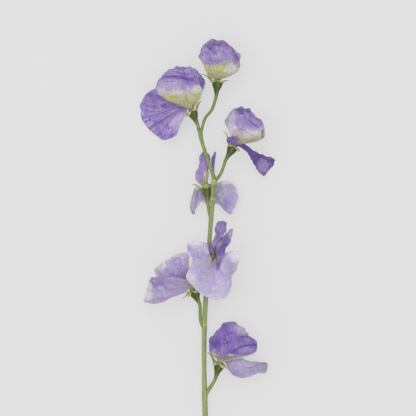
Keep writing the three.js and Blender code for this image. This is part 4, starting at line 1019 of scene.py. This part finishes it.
CLOUD_SCALE = 0.14
STREAK_SCALES = (3, 9)
VEIN_SCALES = (2.2, 24)
VEIN_WANDER, VEIN_SWAY = 0.06, 0.15
CRUMPLE_SCALE, CRUSH = 0.26, 1.5
# Width of the fold creases, strength of the painted shade along them and how deep they dip in the bump.
FOLD_CREASE_WIDTH, FOLD_PAINTED_SHADE, FOLD_CREASE_DEPTH = 0.5, 0.26, 0.5
LEVEL_FRAY = 0.03
MOTTLE_CLOUD, MOTTLE_STREAK, MOTTLE_ENDS = 0.7, 0.5, (-0.9, 0.9)
PATCH_CLOUD, PATCH_STREAK, PATCH_ENDS = 0.6, 0.5, (-0.4, 2.2)
STREAK_ENDS, STREAK_HEIGHT = (0, 1.2), 0.3
VEIN_ENDS, VEIN_HEIGHT = (0.25, 1.1), 0.4
FOOT_VEINS = 0.18
GLINT, GLINT_ENDS, GLINT_STREAK = 0.38, (0.45, 1.2), 0.8
RIM_FRAY, RIM_STARTS = 0.35, (0.3, 0.6)
CREASE_CLOUD, CREASE_STREAK, CREASE_SOFTNESS = 0.5, 0.4, 1.3
PETAL_ROUGHNESS, ROUGHNESS_CHANGE, PETAL_RELIEF = 0.6, 0.08, 0.4
PETAL_SURFACE = {"sheen": 0.1, "specular": 0.25, "thin": 0.35}
PETAL_SCATTER = (1, 0.8, 1)

SAGE_ENDS = (-60, 90)
FLECK_SCALES, RIDGE_SCALES = (0.25, 1.5), (0.02, 5)
FLECKS, FLECK_ENDS, FLECK_RELIEF = 0.35, (0.1, 1.1), 0.2
RIDGE_SHADE, RIDGE_ENDS, RIDGE_RELIEF = 0.4, (-0.2, 1.1), 0.6
GREEN_ROUGHNESS, GREEN_RELIEF = 0.5, 0.12


class Wire:
    """A number on its way through a material, so that shader maths reads as Python."""

    def __init__(self, sheet, socket):
        self.sheet = sheet
        self.socket = socket

    def maths(self, operation, *values):
        return self.sheet.add("ShaderNodeMath", {"operation": operation}, dict(enumerate(values)))

    def __add__(self, other):
        return self.maths("ADD", self, other)

    def __radd__(self, other):
        return self.maths("ADD", other, self)

    def __sub__(self, other):
        return self.maths("SUBTRACT", self, other)

    def __rsub__(self, other):
        return self.maths("SUBTRACT", other, self)

    def __mul__(self, other):
        return self.maths("MULTIPLY", self, other)

    def __rmul__(self, other):
        return self.maths("MULTIPLY", other, self)

    def __truediv__(self, other):
        return self.maths("DIVIDE", self, other)

    def __rtruediv__(self, other):
        return self.maths("DIVIDE", other, self)

    def __pow__(self, other):
        return self.maths("POWER", self, other)

    def __abs__(self):
        return self.maths("ABSOLUTE", self)


class Sheet:
    """One material and the nodes that are added to it."""

    def __init__(self, name):
        self.material = bpy.data.materials.new(name)
        self.material.use_nodes = True
        self.nodes = self.material.node_tree.nodes
        self.links = self.material.node_tree.links
        self.nodes.clear()

    def add(self, kind, settings=None, inputs=None, output=0):
        """Adds a node, its settings first and then the values or links of its sockets."""
        node = self.nodes.new(kind)
        for key, value in (settings or {}).items():
            setattr(node, key, value)
        for key, value in (inputs or {}).items():
            if isinstance(value, Wire):
                self.links.new(value.socket, node.inputs[key])
            else:
                node.inputs[key].default_value = value
        return Wire(self, node.outputs[output]) if node.outputs else node

    def attribute(self, name):
        """The three numbers of a point attribute."""
        return self.split(self.add("ShaderNodeAttribute", {"attribute_name": name}, output="Vector"))

    def split(self, wire):
        """The three parts of a vector."""
        node = self.add("ShaderNodeSeparateXYZ", inputs={0: wire}).socket.node
        return [Wire(self, socket) for socket in node.outputs]

    def vector(self, x, y, z):
        return self.add("ShaderNodeCombineXYZ", inputs={0: x, 1: y, 2: z})

    def noise(self, vector, scale=1.0, detail=2.0, roughness=0.5):
        """Noise that runs from about -1 to 1."""
        inputs = {"Vector": vector, "Scale": scale, "Detail": detail, "Roughness": roughness}
        noise_wire = self.add("ShaderNodeTexNoise", {"noise_dimensions": "3D"}, inputs)
        return noise_wire * NOISE_GAIN - NOISE_GAIN / 2

    def step(self, low, high, x):
        """A smooth step from 0 at low to 1 at high."""
        inputs = {"Value": x, "From Min": low, "From Max": high}
        return self.add("ShaderNodeMapRange", {"interpolation_type": "SMOOTHSTEP"}, inputs)

    def blend(self, share, first, second):
        """Mixes two colours."""
        ends = [c if isinstance(c, Wire) else (*c, 1) for c in (first, second)]
        inputs = {0: share, 6: ends[0], 7: ends[1]}
        settings = {"data_type": "RGBA", "clamp_factor": True}
        return self.add("ShaderNodeMix", settings, inputs, output=2)

    def finish(self, paint, roughness, height, relief, sheen=0.0, specular=0.35, glow=0.0, thin=0.0):
        """The surface itself: paint, gloss and relief, given in millimetres."""
        bump_inputs = {"Strength": 1.0, "Distance": relief * MM, "Height": height}
        bump = self.add("ShaderNodeBump", inputs=bump_inputs)
        inputs = {
            "Base Color": paint, "Roughness": roughness, "Normal": bump,
            "Sheen Weight": sheen, "Specular IOR Level": specular,
            "Emission Color": (1, 1, 1, 1), "Emission Strength": glow,
            "Subsurface Weight": thin, "Subsurface Radius": PETAL_SCATTER, "Subsurface Scale": MM,
        }
        surface = self.add("ShaderNodeBsdfPrincipled", inputs=inputs)
        self.add("ShaderNodeOutputMaterial", inputs={"Surface": surface})
        return self.material


def petal_material(name, look, colours):
    """A petal's paint: foot, band and body along it, then spots, streaks and veins, painted shade and glints
    on the small folds, dark lines that are painted shade along creases and the open keel's own fine lines,
    and rim.
    """
    sheet = Sheet(f"paint_{name}")
    tint = {key: tuple(getattr(colours, key)) for key in colours.__annotations__}
    u, v, edge = sheet.attribute("blade")
    x, y, z = sheet.attribute("spot")
    out = (u - CLAW_SHARE) / (1 - CLAW_SHARE)
    cloud, streak, vein, folds = petal_patterns(sheet, look["seed"], out, v, x, y, z)
    fold_crease = 1 - sheet.step(0, FOLD_CREASE_WIDTH, folds)

    level = out + look.get("tilt", 0) * v + cloud * look.get("wander", VEIN_WANDER) + streak * LEVEL_FRAY
    mottle = (cloud * MOTTLE_CLOUD + streak * MOTTLE_STREAK) * look.get("cloud", 1)
    foot_end, band_start, band_end, body_start = look["levels"]
    grown = sheet.step(band_end, body_start, level)
    body = sheet.blend(sheet.step(*MOTTLE_ENDS, mottle), tint[look["body"]], tint[look["light"]])
    paint = sheet.blend(sheet.step(foot_end, band_start, level), tint[look["foot"]], tint[look["band"]])
    paint = sheet.blend(grown, paint, body)

    fray = cloud * PATCH_CLOUD + streak * PATCH_STREAK
    patches = look.get("patches", ())
    paint = patched(sheet, paint, x, y, fray, tint, [place for place in patches if place[4] not in CLEAN])
    dark = sheet.step(*STREAK_ENDS, streak) * look["streaks"] + sheet.step(*VEIN_ENDS, vein) * look["veins"]
    # Painted shade along the creases of the small folds, added to the real streaks and veins.
    dark = dark + fold_crease * (FOLD_PAINTED_SHADE * look["crumple"])
    paint = sheet.blend(dark * (FOOT_VEINS + (1 - FOOT_VEINS) * grown), paint, tint[look["vein"]])
    # Painted glints: white on the raised parts between the fold creases, where the streaks are weak.
    glint = sheet.step(*GLINT_ENDS, folds) * sheet.step(0, GLINT_STREAK, 0 - streak)
    paint = sheet.blend(glint * GLINT, paint, tint["white"])
    paint = patched(sheet, paint, x, y, fray, tint, [place for place in patches if place[4] in CLEAN])

    if "rim" in look:
        rim_colour, width, strength = look["rim"]
        fringe = 1 - sheet.step(0, width, edge + streak * (RIM_FRAY * width))
        paint = sheet.blend(fringe * sheet.step(*RIM_STARTS, out) * strength, paint, tint[rim_colour])
    # Painted shade in the vein colour along the creases; on the open keel these lines are its own fine lines.
    for start, end, width, strength, _ in look.get("lines", ()):
        mark = crease(sheet, x + cloud * CREASE_CLOUD, y + streak * CREASE_STREAK, start, end, width)
        paint = sheet.blend(mark * strength, paint, tint[look["vein"]])
    height = streak * STREAK_HEIGHT + vein * VEIN_HEIGHT - fold_crease * FOLD_CREASE_DEPTH
    roughness = PETAL_ROUGHNESS + ROUGHNESS_CHANGE * streak
    relief = look.get("relief", PETAL_RELIEF)
    return sheet.finish(paint, roughness, height, relief, **PETAL_SURFACE)


def petal_patterns(sheet, seed, out, v, x, y, z):
    """Soft clouds, streaks and veins along a petal, and the crumpled folds over it."""
    cloud = sheet.noise(sheet.vector(x, y, z + 3 * seed), scale=CLOUD_SCALE, detail=3)
    wander = v + cloud * VEIN_WANDER
    along, across = STREAK_SCALES
    streak = sheet.noise(sheet.vector(out * along, wander * across, seed + 0.5), detail=4, roughness=0.6)
    along, across = VEIN_SCALES
    vein = sheet.noise(sheet.vector(out * along + cloud * VEIN_SWAY, wander * across, seed + 0.8), detail=2)
    crushed = sheet.vector(x + cloud * CRUSH, y, z + 5 * seed)
    folds = abs(sheet.noise(crushed, scale=CRUMPLE_SCALE, detail=4, roughness=0.65))
    return cloud, streak, vein, folds


def patched(sheet, paint, x, y, fray, tint, patches):
    """The paint with soft spots of other colours round places of the layout."""
    for x0, y0, half_x, half_y, colour_name, strength in patches:
        gap = ((x - x0) / half_x) ** 2 + ((y - y0) / half_y) ** 2 + fray
        paint = sheet.blend((1 - sheet.step(*PATCH_ENDS, gap)) * strength, paint, tint[colour_name])
    return paint


def crease(sheet, x, y, start, end, width):
    """1 on the straight line between two places and 0 off it."""
    (x0, y0), (x1, y1) = start, end
    run = (x1 - x0) ** 2 + (y1 - y0) ** 2
    t = sheet.add("ShaderNodeClamp", inputs={0: ((x - x0) * (x1 - x0) + (y - y0) * (y1 - y0)) / run})
    gap = ((x - x0 - t * (x1 - x0)) ** 2 + (y - y0 - t * (y1 - y0)) ** 2) ** 0.5
    return 1 - sheet.step(0, CREASE_SOFTNESS * width, gap)


def green_material(name, colours, calyx):
    """Stem and calyx green: sage low down, darker on the calyces, with fine ridges along it."""
    sheet = Sheet(name)
    along, around, dark = sheet.attribute("trail")
    lengthways, across = FLECK_SCALES
    mottle = sheet.noise(sheet.vector(along * lengthways, around * across, 1), detail=4)
    lengthways, across = RIDGE_SCALES
    ridges = sheet.noise(sheet.vector(along * lengthways, around * across, 2), detail=2)
    low = 1 - sheet.step(*SAGE_ENDS, along)
    paint = sheet.blend(low * (1 - calyx), tuple(colours.green), tuple(colours.sage))
    paint = sheet.blend(sheet.step(*FLECK_ENDS, mottle) * FLECKS, paint, tuple(colours.lime))
    paint = sheet.blend(sheet.step(*RIDGE_ENDS, ridges) * RIDGE_SHADE, paint, tuple(colours.shade_green))
    paint = sheet.blend(dark, paint, tuple(colours.shade_green))
    paint = sheet.blend(0 - dark, paint, tuple(colours.sepal))
    height = ridges * RIDGE_RELIEF + mottle * FLECK_RELIEF
    roughness = GREEN_ROUGHNESS + ROUGHNESS_CHANGE * mottle
    return sheet.finish(paint, roughness, height, GREEN_RELIEF, specular=0.4)


# ---------------------------------------------------------------- green parts


def ring_frames(points):
    """Two directions across each point of a path, carried along it without twist."""
    normal = np.array(FIRST_NORMAL)
    frames = []
    for direction in unit(np.gradient(points, axis=0)):
        normal = unit(normal - direction * (normal @ direction))
        frames.append((normal, np.cross(direction, normal)))
    return np.array(frames)


def tube_points(centres, radii, sides, ridge=0.0, twist=0.0):
    """Rings of points round a path, with ridges that run along it."""
    frames = ring_frames(centres)
    turn = np.linspace(0, 2 * math.pi, sides, endpoint=False)
    wave = 1 + ridge * np.cos(RIDGES * turn[None, :] + twist * np.arange(len(centres))[:, None])
    size = radii[:, None] * wave
    first, second = ((size * round_by(turn))[..., None] for round_by in (np.cos, np.sin))
    return centres[:, None, :] + (frames[:, None, 0] * first + frames[:, None, 1] * second)


def capped(points):
    """Faces of a tube of rings, with one face across each end."""
    rings, sides = points.shape[:2]
    last = range((rings - 1) * sides, rings * sides)
    return [*grid_faces(rings - 1, sides, closed=True), tuple(range(sides)), tuple(last[::-1])]


def trail_of(height, dark):
    """The trail attribute: height in the layout, place round the tube and share of dark green."""
    around = np.cos(np.linspace(0, 2, dark.shape[1], endpoint=False) * math.pi)
    rows = [np.broadcast_to(values, dark.shape) for values in (height, around, dark)]
    return np.stack(rows, axis=-1).reshape(-1, 3)


def build_stalk(sizes, colours):
    """The main stem: a slightly ridged tube with a swelling at each node and a plain cut end."""
    stations = np.array(MAIN_STEM, float)
    t = np.linspace(0, 1, sizes.steps + 1)
    centres = catmull(stations[:, :3], t)
    radii = catmull(stations[:, 3:], t)[:, 0]
    for bloom in BLOOMS.values():
        gap = np.linalg.norm(centres - np.array(bloom["pedicel"][0][:3]), axis=1)
        radii = radii + NODE_SWELLING * np.exp(-((gap / NODE_REACH) ** 2))
    points = tube_points(centres, radii, sizes.sides, sizes.ridge / MM / 2, RIDGE_TWIST)
    points[..., 2] = np.maximum(points[..., 2], -OFFSET[2])
    dark = np.zeros((len(t), sizes.sides))
    for level, width, strength in STEM_MARKS:
        dark += strength * np.exp(-(((centres[:, 1] - level) / width) ** 2))[:, None]
    attributes = {"trail": trail_of(centres[:, 1:2], dark)}
    material = green_material("stem_green", colours, 0)
    new_piece("stalk", points.reshape(-1, 3), capped(points), attributes, material, ["stem"])


def build_calyx(bloom_name, sizes, material):
    """A pedicel that widens into its calyx, hollow at the mouth, with five pointed sepals on the rim."""
    bloom = BLOOMS[bloom_name]
    t = np.linspace(0, 1, CALYX_RINGS)
    points = np.concatenate([calyx_outside(bloom, t, sizes.sides), calyx_cup(bloom, sizes.sides)])
    # The cup's rings run backwards down the hollow, so they start at the same side as the outer rings.
    points[len(t):] = match_rings(points[len(t) - 1], points[len(t):], *axes_of(bloom)[:2])
    share = np.concatenate([t, np.ones(len(points) - len(t))])[:, None]
    rib = np.cos(RIDGES * math.pi * np.linspace(0, 2, sizes.sides, endpoint=False))
    dark = smoothstep(*CALYX_DARK_ENDS, share) * (CALYX_DARK - RIB_LIGHT * rib)
    dark = dark - RIM_LIGHT * smoothstep(RIM_START, 1, share)
    parts = [(points.reshape(-1, 3), capped(points), trail_of(points[:, :1, 1], dark))]
    parts += [sepal_mesh(bloom, sepal, k, sizes) for k, sepal in enumerate(bloom["sepals"])]
    faces, count = [], 0
    for part_points, part_faces, _ in parts:
        faces += [tuple(i + count for i in face) for face in part_faces]
        count += len(part_points)
    all_points, trails = (np.concatenate([part[k] for part in parts]) for k in (0, 2))
    new_piece(f"calyx_{bloom_name}", all_points, faces, {"trail": trails}, material, ["stem"])


def calyx_outside(bloom, t, sides):
    """Rings from the foot of the pedicel to the rim of the calyx."""
    levels = zip(CALYX_LEVELS, CALYX_RADII)
    calyx = [(*in_bloom(bloom, -CALYX_LENGTH * level, 0, 0), radius) for level, radius in levels]
    stations = np.array([*bloom["pedicel"], *calyx], float)
    return tube_points(catmull(stations[:, :3], t), catmull(stations[:, 3:], t)[:, 0], sides, CALYX_RIDGE)


def calyx_cup(bloom, sides):
    """Rings over the rim and down the hollow to its floor."""
    depths = np.linspace(CUP_START, CALYX_FLOOR_DEPTH, CUP_RINGS)
    wall = CALYX_RADII[-1] - CALYX_RIM
    rings = [(RIM_RISE, wall + CALYX_RIM / 2), *((-d, wall - CUP_TAPER * d) for d in depths)]
    rings.append((-CALYX_FLOOR_DEPTH, CUP_FLOOR_RADIUS))
    centres = np.array([in_bloom(bloom, level, 0, 0) for level, _ in rings])
    return tube_points(centres, np.array([radius for _, radius in rings]), sides)


def match_rings(guide, rings, centre, along):
    """Turns each ring's points so that its first one lies beside the guide ring's first one."""
    sides = guide.shape[0]
    start = guide[0] - centre
    start = unit(start - along * (start @ along))
    other = np.cross(along, start)
    turn = np.linspace(0, 2 * math.pi, sides, endpoint=False)
    handed = np.sign((guide[1] - centre) @ other)
    circle = np.outer(np.cos(turn), start) + handed * np.outer(np.sin(turn), other)
    middles = rings.mean(1, keepdims=True)
    radii = np.linalg.norm(rings - middles, axis=2).mean(1)
    return middles + radii[:, None, None] * circle


def sepal_mesh(bloom, sepal, index, sizes):
    """One pointed sepal, thick at its root and thin at its tip."""
    length_out, rise = sepal
    angle = math.pi + 2 * math.pi * index / len(bloom["sepals"])
    rim = CALYX_RADII[-1] - CALYX_RIM / 2

    def place(a, out):
        return in_bloom(bloom, a, out * math.cos(angle), out * math.sin(angle))

    behind, inside, *root_size = SEPAL_ROOT
    stations = [(*place(behind, rim + inside), *root_size)]
    for out, ahead, breadth, depth in SEPAL_BLADE:
        point = place(SEPAL_START + rise * ahead, rim + length_out * out)
        stations.append((*point, SEPAL_BREADTH * breadth, depth))
    shape = {"stations": stations, "focus": place(-SEPAL_FOCUS, 0)}
    u, v = blade_grid(*SEPAL_GRID)
    middle = middle_surface(shape, u, v)
    points, faces = shell(middle, sizes.sepal / MM * (1 - SEPAL_TAPER * u**2) * (1 - SEPAL_EDGE * abs(v)))
    dark = SEPAL_ROOT_DARK - SEPAL_LIGHT * smoothstep(0, SEPAL_LIGHT_END, u)
    trail = np.stack([middle[..., 1], v, dark], axis=-1).reshape(-1, 3)
    return points, faces, np.concatenate([trail, trail])


# ---------------------------------------------------------------- stage


CAMERA_HEIGHT_SHARE = 0.55
SENSOR_WIDTH = 36
CAMERA_REACH = 50
KEY_SIZE = 1.4
KEY_PLACE = Vector((-0.2, 0.22, 1.75))
KEY_AIM = Vector((0, 0.05, 0))
GRAIN_SCALE, GRAIN_ENDS, GRAIN_SHARE, GRAIN_RELIEF = 9, (-1.5, 1.5), 0.25, 0.02
FLOOR_ROUGHNESS, FLOOR_SPECULAR = 0.95, 0.1


def add_object(name, data):
    """A new object in the scene."""
    thing = bpy.data.objects.new(name, data)
    bpy.context.scene.collection.objects.link(thing)
    return thing


def build_floor(sizes, colours):
    """A square of pale floor that gives off a little light."""
    mesh = bpy.data.meshes.new("floor")
    half = sizes.floor_size / 2
    corners = [(x * half, y * half, 0) for x, y in ((-1, -1), (1, -1), (1, 1), (-1, 1))]
    mesh.from_pydata(corners, [], [(0, 1, 2, 3)])
    floor = add_object("floor", mesh)
    sheet = Sheet("floor")
    grain = sheet.noise(sheet.add("ShaderNodeTexCoord", output="Object"), scale=GRAIN_SCALE)
    share = sheet.step(*GRAIN_ENDS, grain) * GRAIN_SHARE
    paint = sheet.blend(share, tuple(colours.floor), tuple(colours.floor_grain))
    surface = {"specular": FLOOR_SPECULAR, "glow": sizes.floor_glow}
    mesh.materials.append(sheet.finish(paint, FLOOR_ROUGHNESS, grain, GRAIN_RELIEF, **surface))


def build_stage(sizes, colours):
    """A plain pale floor, even light from all round and a camera that looks straight down."""
    build_floor(sizes, colours)
    scene = bpy.context.scene
    camera = add_object("camera", bpy.data.cameras.new("camera"))
    camera.data.lens = sizes.lens
    camera.data.sensor_width = SENSOR_WIDTH
    camera.data.clip_end = CAMERA_REACH
    aim = Vector((OFFSET * MM).tolist())
    camera.location = (aim.x, aim.y, CAD_BOX[1].z * CAMERA_HEIGHT_SHARE + sizes.distance)
    scene.camera = camera

    key = add_object("key_light", bpy.data.lights.new("key_light", "AREA"))
    key.data.energy = sizes.key_power
    key.data.size = KEY_SIZE
    key.location = KEY_PLACE
    key.rotation_euler = (KEY_AIM - KEY_PLACE).to_track_quat("-Z", "Y").to_euler()

    scene.world = bpy.data.worlds.new("studio")
    scene.world.use_nodes = True
    backdrop = scene.world.node_tree.nodes["Background"]
    backdrop.inputs["Color"].default_value = (1, 1, 1, 1)
    backdrop.inputs["Strength"].default_value = sizes.sky
    scene.view_settings.view_transform = "Standard"


# ---------------------------------------------------------------- operators, panel and registration


class SWEETPEA_OT_stalk(bpy.types.Operator):
    """Build the main stem"""

    bl_idname = "sweetpea.stalk"
    bl_label = "Stalk"

    def execute(self, context):
        build_stalk(context.scene.sweet_pea_stem, context.scene.sweet_pea_colours)
        return {"FINISHED"}


class SWEETPEA_OT_calyces(bpy.types.Operator):
    """Build the pedicels with their calyces and sepals"""

    bl_idname = "sweetpea.calyces"
    bl_label = "Calyces"

    def execute(self, context):
        scene = context.scene
        material = green_material("calyx_green", scene.sweet_pea_colours, 1)
        for name in BLOOMS:
            build_calyx(name, scene.sweet_pea_stem, material)
        return {"FINISHED"}


class SWEETPEA_OT_standards(bpy.types.Operator):
    """Build the standard petals"""

    bl_idname = "sweetpea.standards"
    bl_label = "Standards"

    def execute(self, context):
        build_petals(context.scene, ["standard"], STANDARD_DETAIL)
        return {"FINISHED"}


class SWEETPEA_OT_wings(bpy.types.Operator):
    """Build the wing petals"""

    bl_idname = "sweetpea.wings"
    bl_label = "Wings"

    def execute(self, context):
        build_petals(context.scene, ["wing_left", "wing_right"], WING_DETAIL)
        return {"FINISHED"}


class SWEETPEA_OT_keels(bpy.types.Operator):
    """Build the keel petals"""

    bl_idname = "sweetpea.keels"
    bl_label = "Keels"

    def execute(self, context):
        build_petals(context.scene, ["keel"], KEEL_DETAIL)
        return {"FINISHED"}


class SWEETPEA_OT_small_lobes(bpy.types.Operator):
    """Build the small lobes that hang from three of the petals"""

    bl_idname = "sweetpea.small_lobes"
    bl_label = "Small lobes"

    def execute(self, context):
        sizes, colours = context.scene.sweet_pea_petals, context.scene.sweet_pea_colours
        for name, lobe in SMALL_LOBES.items():
            shape = {**lobe, "stations": lobe["blade"]}
            build_petal(name, shape, lobe["look"], lobe["node"], sizes, colours, LOBE_DETAIL)
        return {"FINISHED"}


class SWEETPEA_OT_stage(bpy.types.Operator):
    """Build the floor, the lights and the camera"""

    bl_idname = "sweetpea.stage"
    bl_label = "Stage"

    def execute(self, context):
        build_stage(context.scene.sweet_pea_stage, context.scene.sweet_pea_colours)
        return {"FINISHED"}


class SWEETPEA_PT_panel(bpy.types.Panel):
    """Lists the flower's sizes, colours and operators"""

    bl_idname = "SWEETPEA_PT_panel"
    bl_label = "Sweet Pea Flower"
    bl_space_type = "VIEW_3D"
    bl_region_type = "UI"
    bl_category = "Sweet Pea"

    def draw(self, context):
        for name, group in GROUPS.items():
            box = self.layout.box()
            for key in group.__annotations__:
                box.prop(getattr(context.scene, name), key)
        for operator in OPERATORS:
            self.layout.operator(operator.bl_idname)


GROUPS = {
    "sweet_pea_petals": SweetPeaPetalSizes,
    "sweet_pea_stem": SweetPeaStemSizes,
    "sweet_pea_colours": SweetPeaColours,
    "sweet_pea_stage": SweetPeaStageSizes,
}
OPERATORS = (
    SWEETPEA_OT_stalk,
    SWEETPEA_OT_calyces,
    SWEETPEA_OT_standards,
    SWEETPEA_OT_wings,
    SWEETPEA_OT_keels,
    SWEETPEA_OT_small_lobes,
    SWEETPEA_OT_stage,
)
CLASSES = (*GROUPS.values(), *OPERATORS, SWEETPEA_PT_panel)

OFFSET = frame_offset()


def register():
    for kind in CLASSES:
        bpy.utils.register_class(kind)
    for name, group in GROUPS.items():
        setattr(bpy.types.Scene, name, PointerProperty(type=group))


def unregister():
    for name in GROUPS:
        delattr(bpy.types.Scene, name)
    for kind in reversed(CLASSES):
        bpy.utils.unregister_class(kind)


def main():
    register()
    bpy.ops.sweetpea.stalk()
    bpy.ops.sweetpea.calyces()
    bpy.ops.sweetpea.standards()
    bpy.ops.sweetpea.wings()
    bpy.ops.sweetpea.keels()
    bpy.ops.sweetpea.small_lobes()
    bpy.ops.sweetpea.stage()


if __name__ == "__main__":
    main()
